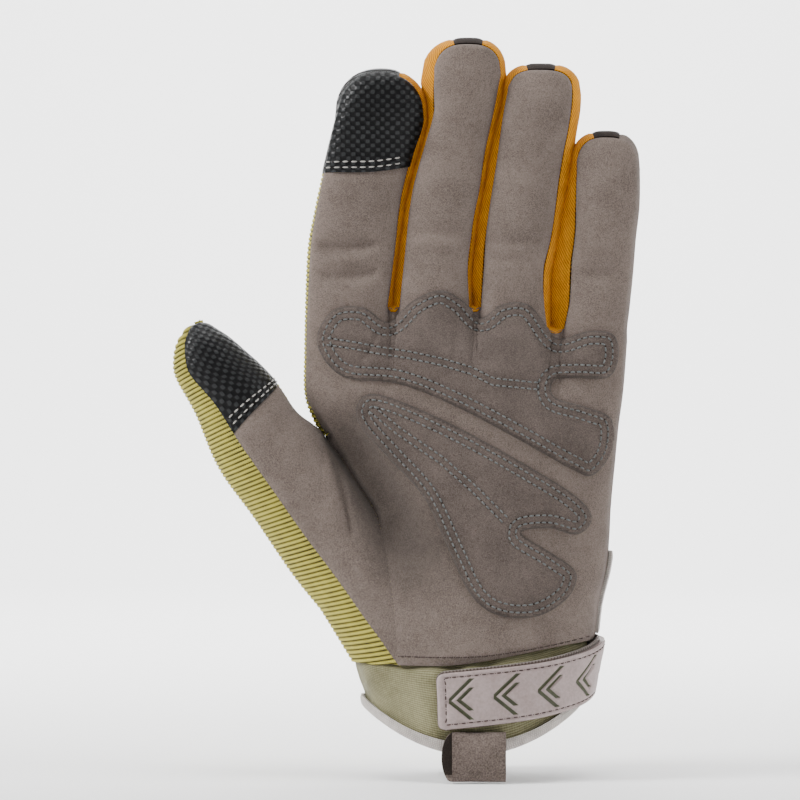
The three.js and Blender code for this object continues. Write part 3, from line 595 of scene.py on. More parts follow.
# %% Folds
def nearest_on(places, path):
    """Nearest point of a path to each place, its distance, and its share of the path's length."""
    path = np.asarray(path, float)
    reached = reached_along(path)
    best = np.full(len(places), np.inf)
    share = np.zeros(len(places))
    nearest = np.zeros((len(places), 2))
    for start, end, before, length in zip(path[:-1], path[1:], reached, np.diff(reached)):
        along = np.clip((places - start) @ (end - start) / length ** 2, 0, 1)
        point = start + along[:, None] * (end - start)
        distance = np.linalg.norm(places - point, axis=1)
        nearer = distance < best
        best[nearer] = distance[nearer]
        nearest[nearer] = point[nearer]
        share[nearer] = (before + along[nearer] * length) / reached[-1]
    return nearest, best, share


FOLD_FADE = 0.3


def fold_sum(places, folds):
    """How deep the folds press flat places (x, z) in."""
    total = np.zeros(len(places))
    for path, depth, width in folds:
        _, distance, share = nearest_on(places, path)
        ends = smooth_step(0, FOLD_FADE, share) * smooth_step(0, FOLD_FADE, 1 - share)
        total += depth * np.exp(-(distance / width) ** 2) * ends
    return total


def fold_depth(points, folds):
    """The same for points in space: only those on the palm side are pressed in."""
    return np.where(points[:, 1] < curl(points[:, 2]), fold_sum(points[:, [0, 2]], folds), 0)


def ripple(points, cloth):
    """Soft unevenness of stuffed cloth, from three crossed waves of unequal length."""
    size, height, start = WAVES[cloth]
    x, y, z = (points + start).T / size
    waves = np.sin(x * 1.7 + 2.1 * np.sin(z * 0.9)) + np.sin(z * 2.3 + 1.3 * np.sin(x * 1.1))
    return height * (waves + np.sin(y * 2.9 + z * 1.3 + x)) / 3


SEAM_FADE = (0.5, 6)
INDEX_FADE = (1, 4)
LAP_WIDTH = (2.2, 3.6)
LAP_TOP = (115, 122)
LAP_PRESS = 2.2


def off_seam(points):
    """0 on the seam between the thumb and the palm and 1 well away from it."""
    x, _, z = points.T
    away = np.abs(x - follow(HAND, "seam", z)) + np.maximum(0, z - THUMB_CROTCH)
    return smooth_step(*SEAM_FADE, away)


def off_index_edge(points):
    """0 on the outer edge of the index finger, where the suede laps over the knit, and 1 inside."""
    x, _, z = points.T
    index = FINGERS[0]
    outer = np.where(z < index["z"][0], follow(HAND, "left", z), follow(index, "left", z, key="z"))
    return np.where(z > THUMB_CROTCH, smooth_step(*INDEX_FADE, x - outer), 1)


def crotch_share(points):
    """1 on the index side of the thumb's crotch, where the knit laps over the suede, fading to 0."""
    x, _, z = points.T
    near = 1 - smooth_step(*LAP_WIDTH, x - follow(HAND, "left", z))
    above = smooth_step(THUMB_CROTCH - 1, THUMB_CROTCH + 1, z)
    return near * (1 - smooth_step(*LAP_TOP, z)) * above


# Path, depth and width, in mm.
PALM_FOLDS = (
    (((-56, 173), (-47, 171), (-38, 172), (-27, 174)), 2.6, 2.6),
    (((-54, 163), (-45, 161.5), (-36, 162.5), (-28, 165)), 2.2, 2.5),
    (((-22, 177), (-12, 175.5), (0, 177)), 1.1, 2.0),
    (((-22, 170), (-10, 168.5), (-1, 170)), 0.9, 1.8),
    (((5, 174), (14, 172.5), (25, 174)), 1.0, 1.9),
    (((5, 167.5), (15, 166.5), (24, 168)), 0.8, 1.7),
    (((34, 163), (43, 161.5), (53, 163)), 1.0, 2.0),
    (((-20, 205), (-8, 203.5), (4, 205)), 0.4, 2.0),
    (((-49, 124), (-40, 107), (-31, 92), (-25, 78), (-22, 58)), 4.8, 7.0),
    (((-45.8, 99.8), (-43.9, 92.1), (-40.7, 75.9), (-39.4, 67.9)), 2.0, 1.5),
    (((-49.4, 109), (-43.3, 99.8), (-38.1, 91.5), (-32.3, 82.7), (-29.2, 72.9)), 2.7, 1.5),
)
print(len(PALM_FOLDS), "folds in the palm")

# %% [markdown]
# ## Shader arithmetic
# A cloth's pattern is a formula on its pattern coordinates. It could be a painted picture, but a
# formula stays sharp from any distance. `Socket` lets Python's own signs build the Math nodes, and
# `Finish` holds a material and makes any other node in one call.

# %% Finish
def srgb(red, green, blue):
    """A colour seen on a screen, 0 to 255 a channel, as Blender's linear colour."""
    channels = [value / 255 for value in (red, green, blue)]
    return [((c + 0.055) / 1.055) ** 2.4 if c > 0.04045 else c / 12.92 for c in channels] + [1.0]


class Socket:
    """A value inside a material that can be added, multiplied and so on."""

    def __init__(self, finish, output):
        self.finish = finish
        self.output = output

    def math(self, operation, *others):
        return self.finish.node("ShaderNodeMath", {"operation": operation}, (self, *others))

    def __add__(self, other):
        return self.math("ADD", other)

    def __sub__(self, other):
        return self.math("SUBTRACT", other)

    def __rsub__(self, other):
        return self.math("MULTIPLY_ADD", -1.0, other)

    def __mul__(self, other):
        return self.math("MULTIPLY", other)

    def __truediv__(self, other):
        return self.math("DIVIDE", other)

    def __pow__(self, other):
        return self.math("POWER", other)

    __radd__ = __add__
    __rmul__ = __mul__

    def wave(self, length):
        """Smooth wave from 0 to 1 that repeats every length."""
        return (self * (2 * math.pi / length)).math("SINE") * 0.5 + 0.5

    def ramp(self, low, high):
        """0 below low and 1 above high, with a soft step between."""
        settings = {"interpolation_type": "SMOOTHSTEP"}
        return self.finish.node("ShaderNodeMapRange", settings, (self, low, high, 0.0, 1.0))


class Finish:
    """A material: colours and heights are worked out with sockets and given to its one shader."""

    def __init__(self, name, roughness, sheen=0.0):
        self.material = bpy.data.materials.new(name)
        self.material.use_nodes = True
        self.tree = self.material.node_tree
        self.shader = self.tree.nodes["Principled BSDF"]
        self.shader.inputs["Roughness"].default_value = roughness
        self.shader.inputs["Sheen Weight"].default_value = sheen
        self.shader.inputs["Sheen Roughness"].default_value = 0.6
        self.shader.inputs["Specular IOR Level"].default_value = 0.15
        uv = self.node("ShaderNodeUVMap", {"uv_map": "pattern"})
        self.u, self.v, _ = self.split(uv)
        coordinates = self.tree.nodes.new("ShaderNodeTexCoord")
        self.place = Socket(self, coordinates.outputs["Object"])

    def node(self, kind, settings=None, inputs=(), output=0):
        """A node of any kind; inputs are values or sockets, by position or by name."""
        made = self.tree.nodes.new(kind)
        for name, value in (settings or {}).items():
            setattr(made, name, value)
        given = inputs.items() if isinstance(inputs, dict) else enumerate(inputs)
        for key, value in given:
            self.feed(made.inputs[key], value)
        return Socket(self, made.outputs[output])

    def feed(self, target, value):
        if isinstance(value, Socket):
            self.tree.links.new(value.output, target)
        else:
            target.default_value = value

    def split(self, vector):
        made = self.tree.nodes.new("ShaderNodeSeparateXYZ")
        self.feed(made.inputs[0], vector)
        return [Socket(self, output) for output in made.outputs]

    def noise(self, size, detail=2.0):
        """Cloudy noise whose blotches are about size millimetres wide."""
        inputs = {"Vector": self.place, "Scale": 1 / (size * MILLIMETRE), "Detail": detail}
        return self.node("ShaderNodeTexNoise", None, inputs)

    def blend(self, share, first, second):
        """Colour from first (share 0) to second (share 1)."""
        colours = {0: share, 6: first, 7: second}
        return self.node("ShaderNodeMix", {"data_type": "RGBA"}, colours, output=2)

    def tinted(self, share, dark, light, height=None, depth=0.2, roughness=None):
        """Finishes it in a colour from dark (share 0) to light (share 1)."""
        colour = self.blend(share, srgb(*dark), srgb(*light))
        return self.finish(colour, height, depth, roughness)

    def finish(self, colour, height=None, depth=0.2, roughness=None):
        """Joins colour, bump height (0 to 1, depth in millimetres) and roughness to the shader."""
        self.feed(self.shader.inputs["Base Color"], colour)
        if roughness is not None:
            self.feed(self.shader.inputs["Roughness"], roughness)
        if height is not None:
            inputs = {"Height": height, "Strength": 1.0, "Distance": depth * MILLIMETRE}
            self.feed(self.shader.inputs["Normal"], self.node("ShaderNodeBump", None, inputs))
        return self.material


print("shader arithmetic is ready")

# %% [markdown]
# ## Suede
# Suede is a matt nap: soft cloudy patches where it lies one way or the other, and a fine grain of
# light and dark fibres. Hair could be grown on it, but from this far fine noise as colour and bump
# shows the same. The suedes of the glove differ in tone and in the size of their grain, so one
# function makes them. In the hollow of the palm beside the thumb, shade is painted into the colour.

# %% Suede finishes
# The middle of the palm's hollow in x and z, its direction, and where its painted shade starts and is
# full, across it, along it and at the seam, in mm. The seam bounds it towards the thumb and is the
# line x = SEAM_FOOT + SEAM_LEAN * z.
HOLLOW_MIDDLE = (-30, 86)
HOLLOW_TURN = math.radians(31)
HOLLOW_WIDTH = (22, 3)
HOLLOW_LENGTH = (44, 16)
HOLLOW_SEAM = (-0.6, 1.4)
HOLLOW_SHADE_COLOUR = (30, 26, 23)
SEAM_FOOT = -18.6
SEAM_LEAN = -0.293


def hollow_shade_share(nap):
    """1 in the hollow of the palm beside the thumb, where shade is painted in, and 0 away from it."""
    x, _, z = nap.split(nap.place)
    x, z = x / MILLIMETRE, z / MILLIMETRE
    right, up = x - HOLLOW_MIDDLE[0], z - HOLLOW_MIDDLE[1]
    across = right * math.cos(HOLLOW_TURN) + up * math.sin(HOLLOW_TURN)
    along = right * math.sin(HOLLOW_TURN) - up * math.cos(HOLLOW_TURN)
    wide = across.math("ABSOLUTE").ramp(*HOLLOW_WIDTH)
    long = along.math("ABSOLUTE").ramp(*HOLLOW_LENGTH)
    return wide * long * (x - z * SEAM_LEAN - SEAM_FOOT).ramp(*HOLLOW_SEAM)


def suede(name, light, dark, grain=0.34, painted_shade=0.0):
    nap = Finish(name, roughness=0.95, sheen=0.06)
    cloud = nap.noise(9.0, detail=3.0)
    patch = nap.noise(1.6, detail=2.0)
    fibre = nap.noise(grain, detail=2.0)
    tone = (cloud - 0.5) * 0.4 + (patch - 0.5) * 0.22 + (fibre - 0.5) * 1.1 + 0.5
    colour = nap.blend(tone.ramp(0.0, 1.0), srgb(*dark), srgb(*light))
    # Painted shade: the colour is darkened in the hollow of the palm beside the thumb.
    if painted_shade:
        colour = nap.blend(hollow_shade_share(nap) * painted_shade, colour, srgb(*HOLLOW_SHADE_COLOUR))
    height = fibre * 0.8 + patch * 0.2
    return nap.finish(colour, height, depth=0.16)


palm_suede = suede("suede", light=(127, 114, 106), dark=(70, 61, 56), painted_shade=0.62)
pad_suede = suede("pad_suede", light=(104, 93, 87), dark=(53, 45, 41), painted_shade=0.45)
# Painted shade: a darker suede for each pad's outer row of faces, its walls and its underside, a dark
# line along the pad's outline.
pad_rim_shade = suede("pad_rim_shade", light=(84, 75, 70), dark=(44, 38, 34))
tab_suede = suede("tab_suede", light=(50, 41, 37), dark=(24, 19, 17))
loop_suede = suede("loop_suede", light=(117, 104, 97), dark=(58, 50, 45), grain=0.5)
print("suedes", palm_suede.name, pad_suede.name, tab_suede.name, loop_suede.name)

# %% [markdown]
# ## Palm
# The palm is one piece of suede with the fronts of the four fingers. It turns round the little
# finger's outer side. Its cut edges are rolled in, because they are sewn from inside. A few faces
# under a Subdivision Surface would be lighter, but only a fine grid takes the folds.

# %% Palm panel
PALM_ROWS = 120
FINGER_ROWS = 72
SUEDE_WALL = 1.6
SUEDE_SIDE = 8


def index_cap_share(across):
    """Share of the index finger's length at the lower edge of its cap."""
    line = INDEX_CAP_LINE + INDEX_CAP_RISE * np.maximum(0, across) ** 2
    root, crown = finger_height(0, across, 0.0), finger_height(0, across, 1.0)
    return (line - root) / (crown - root)


def hand_face(face, palm_rows, finger_rows, columns=FINGER_COLUMNS, webs=WEB_COLUMNS):
    """Grids of one face of the hand with its fingers."""
    turned = face == "back"
    palm = palm_points(root_line(face, columns, webs), rows_of(steps(palm_rows)), face)
    grids = [(palm, pattern_of(palm), turned)]
    for finger in range(len(FINGERS)):
        across = column_places(columns)
        top = index_cap_share(across) if finger == 0 and face == "front" else 1.0
        points = finger_point(finger, across, rows_of(steps(finger_rows)) * top, face)
        grids.append((points, pattern_of(points), turned))
    return grids


def side_grid(points, turned=False):
    return points, pattern_of(points, u_axis=1), turned


outer_rim = rim_rows(3, finger_rim(3, 1, TAB_REACH, FINGER_ROWS))
palm_sheet = Sheet(
    *hand_face("front", PALM_ROWS, FINGER_ROWS),
    side_grid(strip(side_rows(1, PALM_ROWS), SUEDE_SIDE)),
    side_grid(strip(outer_rim, SUEDE_SIDE)),
)
palm_sheet.lift(ripple(palm_sheet.points, "palm suede") * off_seam(palm_sheet.points))
palm_sheet.press(fold_depth(palm_sheet.points, PALM_FOLDS))
palm_sheet.press(LAP_PRESS * crotch_share(palm_sheet.points))
rolled_share = off_seam(palm_sheet.points) * off_index_edge(palm_sheet.points)
palm_sheet.sink_edges("palm suede", rolled_share)
palm_sheet.make("palm_suede", SUEDE_WALL, palm_suede, "suede", "palm_panel")

# %% [markdown]
# ## Rib knit
# The back of the hand and of the thumb is an olive rib knit: round cords side by side, 1.55 mm
# apart, that run across the hand. Bump alone looks flat at this size, so the ribs are real shape,
# and the finish only adds the yarn's stitches and the shadow between the cords.

# %% Knit finish and back of the hand
RIB_PITCH = 1.55
RIB_HEIGHT = 0.6
KNIT_WALL = 1.8


def ribs(along):
    """Height of round cords across a surface at places along it."""
    return RIB_HEIGHT * (np.abs(np.sin(np.pi * along / RIB_PITCH)) ** 0.7 - 1)


knit = Finish("rib_knit", roughness=0.85, sheen=0.05)
rib = (knit.v * (math.pi / RIB_PITCH)).math("SINE").math("ABSOLUTE")
yarn = (knit.u + rib * 0.4).wave(0.8)
shade = (rib ** 1.3).ramp(0.0, 1.0) * 0.85 + yarn * 0.2 + (knit.noise(4.0) - 0.5) * 0.4
rib_knit = knit.tinted(shade, (44, 40, 4), (186, 176, 80), yarn * rib, depth=0.25)

KNIT_PALM_ROWS = 400
KNIT_FINGER_ROWS = 270
KNIT_COLUMNS = 12
KNIT_WEBS = 3
KNIT_SIDE = 6
index_rim = rim_rows(0, finger_rim(0, -1, -TAB_REACH, KNIT_FINGER_ROWS, KNIT_COLUMNS))
index_side = strip(side_rows(-1, KNIT_PALM_ROWS), KNIT_SIDE)
index_side = index_side[index_side[:, 0, 2] > THUMB_CROTCH]
back_sheet = Sheet(
    *hand_face("back", KNIT_PALM_ROWS, KNIT_FINGER_ROWS, KNIT_COLUMNS, KNIT_WEBS),
    side_grid(index_side, turned=True),
    side_grid(strip(index_rim, KNIT_SIDE), turned=True),
)
back_sheet.sink_edges("knit")
back_sheet.lift(ribs(back_sheet.pattern[:, 1]))
back_sheet.make("back_knit", KNIT_WALL, rib_knit, "rib_knit", "back_panel")

# %% [markdown]
# ## Strips between the fingers
# Three ochre strips run down one finger, across the crotch and up the next. The cloth is a fine
# twill whose ridges lie slantwise across the strip. They are under a millimetre apart, too fine to
# be worth modelling, so they are colour and bump. A dark suede tab closes the top of three fingers.

# %% Fourchettes and fingertip tabs
STRIP_WALL = 1.3
STRIP_COLUMNS = 12
TWILL_PITCH = 0.75
WEB_SWELL = 2.0

twill = Finish("ochre_twill", roughness=0.8, sheen=0.05)
ridge = (twill.u * 0.8 + twill.v * 0.6).wave(TWILL_PITCH)
tint = ridge * 0.55 + twill.noise(5.0) * 0.5 + (twill.noise(0.6) - 0.5) * 0.3
tint = tint.ramp(0.0, 1.0)
ochre_twill = twill.tinted(tint, (150, 88, 2), (224, 152, 14), ridge, depth=0.12)


def fourchette(web, rows):
    """Grid from the next finger's tip down its side, across the web and up this finger."""
    down = rim_rows(web + 1, finger_rim(web + 1, -1, TAB_REACH, rows))
    up = rim_rows(web, finger_rim(web, 1, TAB_REACH, rows))
    first = web * (FINGER_COLUMNS + WEB_COLUMNS) + FINGER_COLUMNS + 1
    faces = []
    for face in ("front", "back"):
        line = root_line(face)[:, first : first + WEB_COLUMNS - 1]
        faces.append(palm_points(line, 1.0, face)[::-1])
    across = (*faces, np.broadcast_to([0, 0, WEB_SWELL], faces[0].shape))
    down, across, up = (strip(rows, STRIP_COLUMNS) for rows in (down, across, up))
    return np.concatenate([down[::-1], across, up])


STRIPS = ("fourchette_index_middle", "fourchette_middle_ring", "fourchette_ring_little")
for web, name in enumerate(STRIPS):
    band = sheet_of(fourchette(web, FINGER_ROWS))
    band.sink_edges("strip")
    band.make(name.replace("fourchette", "strip"), STRIP_WALL, ochre_twill, "ochre_twill", name)

for finger, name in ((1, "tab_middle"), (2, "tab_ring"), (3, "tab_little")):
    across = steps(STRIP_COLUMNS, TAB_REACH, -TAB_REACH)
    places = np.stack([across, np.ones_like(across)], axis=-1)
    band = sheet_of(strip(rim_rows(finger, places), STRIP_COLUMNS))
    band.sink_edges("tab or cap")
    band.make(name.replace("tab", "tip_tab"), STRIP_WALL, tab_suede, "tab_suede", name)

# %% [markdown]
# ## Thumb
# The thumb is a tube of its own. Suede covers its front, knit its outer side and back, and a black
# cap its tip. Rows that simply followed the tube's rings would crowd on the inner side, so the
# rows of its knit lie on lines through a far point on the left. There the ribs keep their pitch and
# only fan out slightly.

# %% Thumb surface
ROOT_BEND = 1.6
THUMB_COLUMNS = 24


def thumb_root(across, face):
    """Open root of the thumb: along the wrist to the seam, then up the seam to the crotch."""
    corner = THUMB["knit"][0]
    wrist_left = follow(HAND, "left", WRIST_LINE)
    wrist_seam = follow(HAND, "seam", WRIST_LINE)
    low_x = mix(wrist_left, wrist_seam, np.minimum(across / corner, 1) ** ROOT_BEND)
    low = face_point(low_x, palm_hem(low_x), hand_depth(low_x, WRIST_LINE, face), face)
    rise = np.maximum(0, (across - corner) / (1 - corner))
    z = mix(palm_hem(wrist_seam), THUMB_CROTCH, rise)
    x = follow(HAND, "seam", z)
    high = face_point(x, z, hand_depth(x, z, face), face)
    return np.where((across < corner)[..., None], low, high)


def thumb_point(ring, turn):
    """Ring counts from 0 at the root; turn is 0 at the knit side and goes over the front."""
    ring, turn = np.broadcast_arrays(ring, turn)
    across = (1 - np.cos(turn)) / 2
    place = np.maximum(ring, 1)
    own = stack(
        mix(follow(THUMB, "outer_x", place), follow(THUMB, "inner_x", place), across),
        follow(THUMB, "y", place) - np.sin(turn) * follow(THUMB, "depth", place),
        mix(follow(THUMB, "outer_z", place), follow(THUMB, "inner_z", place), across),
    )
    forward = (np.sin(turn) >= 0)[..., None]
    root = np.where(forward, thumb_root(across, "front"), thumb_root(across, "back"))
    return np.where((ring >= 1)[..., None], own, mix(root, own, ring[..., None]))


def knit_turn(ring):
    return np.arccos(1 - 2 * follow(THUMB, "knit", ring))


RIB_CENTRE = (-390, -35)
RIB_RADIUS = 345
RIB_SEARCH = 500
TIP_STOP = 0.02


def rib_place(points):
    """How far up the thumb a rib lies: the ribs fan out slightly from a far point on the left."""
    return RIB_RADIUS * np.arctan2(points[..., 2] - RIB_CENTRE[1], points[..., 0] - RIB_CENTRE[0])


def along_ribs(turns, pitch):
    """Rows of rings and the places of the rows, each row on one rib, for turns 0 to 1 of the knit."""
    fine = np.linspace(0, THUMB_TIP - TIP_STOP, RIB_SEARCH)
    turn = mix(np.pi, 2 * np.pi + knit_turn(fine), rows_of(turns))
    place = rib_place(thumb_point(fine, turn))
    place = np.maximum.accumulate(place, axis=1)
    rows = np.arange(place.min(), place.max() + pitch, pitch)
    rings = np.stack([np.interp(rows, line, fine) for line in place], axis=1)
    return rings, rows


print("thumb tip at", thumb_point(THUMB_TIP, 1.0).round(1))

# %% Thumb panel and knit
THUMB_PITCH = 1.0
THUMB_SUEDE_LENGTH = 62
THUMB_CAP_LENGTH = 46
KNIT_STEP = 0.26


def thumb_front(start, end, pitch):
    """Front of the thumb from one share of its length to another: 0 root, 1 cap edge, 2 tip."""
    count = round((THUMB_SUEDE_LENGTH if end <= 1 else THUMB_CAP_LENGTH) / pitch)
    along = rows_of(np.linspace(start, end, count + 1))
    share = steps(THUMB_COLUMNS)
    line = mix(CAP_AT_KNIT, CAP_AT_INNER, share)
    ring = np.where(along <= 1, along * line, mix(line, THUMB_TIP, along - 1))
    return thumb_point(ring, mix(knit_turn(ring), np.pi, share))


THUMB_FOLDS = ((((-80, 96), (-72, 100), (-64, 108)), 0.3, 2.0),)
thumb_sheet = sheet_of(thumb_front(0, 1, THUMB_PITCH))
thumb_sheet.lift(ripple(thumb_sheet.points, "thumb suede") * off_seam(thumb_sheet.points))
thumb_sheet.press(fold_depth(thumb_sheet.points, PALM_FOLDS + THUMB_FOLDS))
thumb_sheet.sink_edges("thumb suede", off_seam(thumb_sheet.points))
thumb_sheet.make("thumb_suede", SUEDE_WALL, palm_suede, "suede", "thumb_panel")

share = steps(32)
rings, rows = along_ribs(share, KNIT_STEP)
turn = mix(np.pi, 2 * np.pi + knit_turn(rings), share)
points = thumb_point(rings, turn)
pattern = along_pattern(points)
pattern[..., 1] = rib_place(points)
knit_sheet = Sheet((points, pattern, False))
knit_sheet.sink_edges("knit")
knit_sheet.lift(ribs(knit_sheet.pattern[:, 1]))
knit_sheet.make("thumb_knit_back", KNIT_WALL, rib_knit, "rib_knit", "thumb_knit")

# %% [markdown]
# ## Stitches
# A machine stitch is a short thread that rises out of one needle hole and dips into the next. Each
# is a small arched rope of a few dozen faces, set on the cloth beneath it, with a dark disc of
# painted shade at its end, in the needle hole. A dashed line in the cloth's colour would look painted
# on. All the stitches of a seam are one mesh.

# %% Thread finish and stitch shape
def cloudy(name, dark, light, roughness, sheen=0.0, size=0.5, contrast=1.0, depth=None):
    """A finish of soft patches, which are also its bump where a depth is given."""
    made = Finish(name, roughness, sheen)
    patches = (made.noise(size) - 0.5) * contrast + 0.5
    return made.tinted(patches, dark, light, patches if depth else None, depth)


THREAD_TWIST = 0.8
grey_thread = cloudy(
    "thread", (58, 61, 61), (108, 111, 109), 0.7, sheen=0.2, contrast=THREAD_TWIST, depth=0.05
)
bright_thread = cloudy("bright_thread", (124, 121, 116), (182, 178, 172), 0.6, sheen=0.2)
dark_thread = cloudy(
    "dark_thread", (40, 32, 30), (84, 72, 68), 0.8, contrast=THREAD_TWIST, depth=0.2
)
# Painted shade: the dark discs at the stitches' ends stand for the shade in the needle holes.
needle_hole_shade = cloudy("needle_hole_shade", (22, 18, 16), (44, 37, 34), 1.0, size=0.8)

# Pitch, length and radius of the stitches of each seam, in mm.
STITCHES = {
    "pad": (2.1, 1.5, 0.29),
    "index cap": (2.9, 1.9, 0.26),
    "thumb cap": (2.6, 1.7, 0.26),
    "palm hem": (2.3, 1.6, 0.22),
    "tape": (2.0, 1.1, 0.15),
    "strap": (2.5, 1.6, 0.2),
}
LOOK_FROM = -80
HOLE_LIFT = 0.04
ROPE_SIDES = 6
ROPE_RINGS = ((-1.0, 0.35), (-0.62, 0.9), (0.0, 1.0), (0.62, 0.9), (1.0, 0.35))


def rope(length, radius):
    """One stitch: points with x along it, y across and z up, and its faces."""
    points = []
    for place, fat in ROPE_RINGS:
        for side in range(ROPE_SIDES):
            angle = 2 * math.pi * side / ROPE_SIDES
            rise = radius * (1.25 - 1.5 * place * place)
            y, z = math.cos(angle) * fat * radius, math.sin(angle) * fat * radius + rise
            points.append((place * length / 2, y, z))
    faces = [list(range(ROPE_SIDES))[::-1]]
    for ring in range(len(ROPE_RINGS) - 1):
        for side in range(ROPE_SIDES):
            a, b = ring * ROPE_SIDES + side, ring * ROPE_SIDES + (side + 1) % ROPE_SIDES
            faces.append([a, b, b + ROPE_SIDES, a + ROPE_SIDES])
    last = (len(ROPE_RINGS) - 1) * ROPE_SIDES
    faces.append([last + side for side in range(ROPE_SIDES)])
    return np.array(points), faces


class Ground:
    """A surface that other things are set on, met by looking along +Y at a place (x, z)."""

    def __init__(self, points, faces, normals):
        self.tree = BVHTree.FromPolygons(points.tolist(), faces)
        self.near = tree_of(points)
        self.normals = normals

    def land(self, x, z):
        """Point and smooth normal of the surface, or None where the look misses it."""
        hit = self.tree.ray_cast((x, LOOK_FROM, z), (0, 1, 0))[0]
        if hit is None:
            return None
        return self.at(hit)

    def at(self, point):
        around = [self.normals[index] for _, index, _ in self.near.find_n(point, 5)]
        normal = np.mean(around, axis=0)
        return np.array(point), normal / np.linalg.norm(normal)

    def nearest(self, x, z):
        """The same for a place just beyond the surface's edge."""
        return self.at(self.tree.find_nearest((x, -EDGE_DEPTH, z))[0])

    def meet(self, place):
        """The surface at a flat place (x, z), or nearest to a place (x, y, z)."""
        return self.land(*place) if len(place) == 2 else self.at(self.tree.find_nearest(place)[0])


def spaced(path, pitch):
    """Points of a path that are a pitch apart, and the places a little ahead and behind each."""
    path = np.asarray(path, float)
    reached = reached_along(path)
    count = max(1, round(reached[-1] / pitch))
    places = (np.arange(count) + 0.5) * reached[-1] / count
    step = 0.3 * pitch
    return [
        np.stack([np.interp(places + shift, reached, column) for column in path.T], axis=1)
        for shift in (0, step, -step)
    ]


def sew(name, ground, paths, seam, thread=grey_thread, slot="pad_suede"):
    """One mesh with the seam's stitches along each path, of (x, z) or (x, y, z), on the ground."""
    pitch, length, radius = STITCHES[seam]
    shape, rope_faces = rope(length, radius)
    ring = [2 * math.pi * side / ROPE_SIDES for side in range(ROPE_SIDES)]
    # The hole is a dark disc at the stitch's end: painted shade in the needle hole.
    hole = [(math.cos(a) * radius - pitch / 2, math.sin(a) * radius, HOLE_LIFT) for a in ring]
    points, faces, kinds = [], [], []
    for path in paths:
        for middle, ahead, behind in zip(*spaced(path, pitch)):
            spots = [ground.meet(place) for place in (middle, ahead, behind)]
            if any(spot is None for spot in spots):
                continue
            (centre, normal), (front, _), (rear, _) = spots
            along = front - rear
            along -= normal * (along @ normal)
            along /= np.linalg.norm(along)
            axes = np.array([along, np.cross(normal, along), normal])
            start = sum(len(part) for part in points)
            faces += [[start + corner for corner in face] for face in rope_faces]
            faces.append([start + len(shape) + side for side in range(ROPE_SIDES)])
            kinds += [0] * len(rope_faces) + [1]
            points += [centre + shape @ axes, centre + np.array(hole) @ axes]
    piece = mesh_piece(name, np.concatenate(points), faces)
    for material in (thread, needle_hole_shade):
        piece.data.materials.append(material)
    piece.data.polygons.foreach_set("material_index", kinds)
    bpy.ops.object.shade_smooth_by_angle(angle=SHARP)
    print(name, sum(kinds), "stitches")
    settle(piece, slot)


print("a stitch has", len(rope(1, 1)[1]), "faces")

# %% [markdown]
# ## Touch caps
# The caps on the index finger and the thumb are thin black leather, embossed with small raised
# studs 1.65 mm apart. The studs could be modelled, but they stand so little proud that bump is
# enough, and the studs' lighter crowns are a painted highlight in the colour.

# %% Touch caps
STUD_PITCH = 1.65
CAP_WALL = 1.7
CAP_LIFT = 0.25
INDEX_CAP_LENGTH = 34

leather = Finish("touch_leather", roughness=0.4)
wavy = leather.noise(3.0) * 0.9
stud = (leather.u + wavy).wave(2 * STUD_PITCH) - 0.5
stud = stud * ((leather.v + wavy).wave(1.8 * STUD_PITCH) - 0.5)
stud = (stud * 2 + 0.5).ramp(0.15, 0.85)
pores = leather.noise(0.7)
# Painted highlight: the studs' crowns are lighter in colour, with random cloudy tone over the cap.
crown_highlight = stud.ramp(0.35, 1.0) * 0.6 + (leather.noise(9.0) - 0.5) * 0.35
crown_highlight = crown_highlight.ramp(0.0, 1.0)
relief = stud * 0.85 + pores * 0.15
touch_leather = leather.tinted(
    crown_highlight, (9, 9, 10), (52, 53, 54), relief, depth=0.2, roughness=0.5 - stud * 0.2
)

across = column_places()
low_share = index_cap_share(across)
share = mix(low_share, 1.0, rows_of(steps(round(INDEX_CAP_LENGTH / THUMB_PITCH))))
points = finger_point(0, across, share, "front")
up = np.stack([np.full(len(share), -1.0), share[:, 0]], axis=1)
over = np.array([(place, 1.0) for place in across if -1 < place <= TAB_REACH + 1e-6])
lap = strip(rim_rows(0, np.concatenate([up, over])), STRIP_COLUMNS)[:, :STRIP_COLUMNS // 2 + 1]
cap_sheet = Sheet((points, pattern_of(points), False), side_grid(lap, turned=True))
cap_sheet.lift(CAP_LIFT)
cap_sheet.sink_edges("tab or cap")
index_ground = cap_sheet.ground()
cap_sheet.make("index_touch_cap", CAP_WALL, touch_leather, "touch_leather", "index_cap")

cap_sheet = sheet_of(thumb_front(1, 2, THUMB_PITCH))
cap_sheet.sink_edges("tab or cap")
thumb_ground = cap_sheet.ground()
cap_sheet.make("thumb_touch_cap", CAP_WALL, touch_leather, "touch_leather", "thumb_cap")

# %% Cap stitches
CAP_ROWS = (1.7, 3.6)
CAP_SCALE = 85

across = steps(30, -0.97, 0.9)
line = finger_point(0, across, index_cap_share(across), "front")
index_rows = [line[:, [0, 2]] + (0, row) for row in CAP_ROWS]
sew("index_cap_stitches", index_ground, index_rows, "index cap", bright_thread, "touch_leather")

thumb_shares = [1 + row / CAP_SCALE for row in CAP_ROWS]
thumb_rows = [thumb_front(share, share + 0.01, 1.0)[0, 1:-1] for share in thumb_shares]
sew("thumb_cap_stitches", thumb_ground, thumb_rows, "thumb cap", bright_thread, "touch_leather")

# %% [markdown]
# ## Palm pads
# Two padded suede shapes are sewn on the palm. A pad is a crowned, closed slab: a fine square grid
# is cut to the pad's outline, laid on the palm and raised, steeply at the rim and then gently. The
# rows of stitches pull it down again in narrow grooves. A cushion blown up by a cloth simulation
# would lose the outline, which is what is seen first.

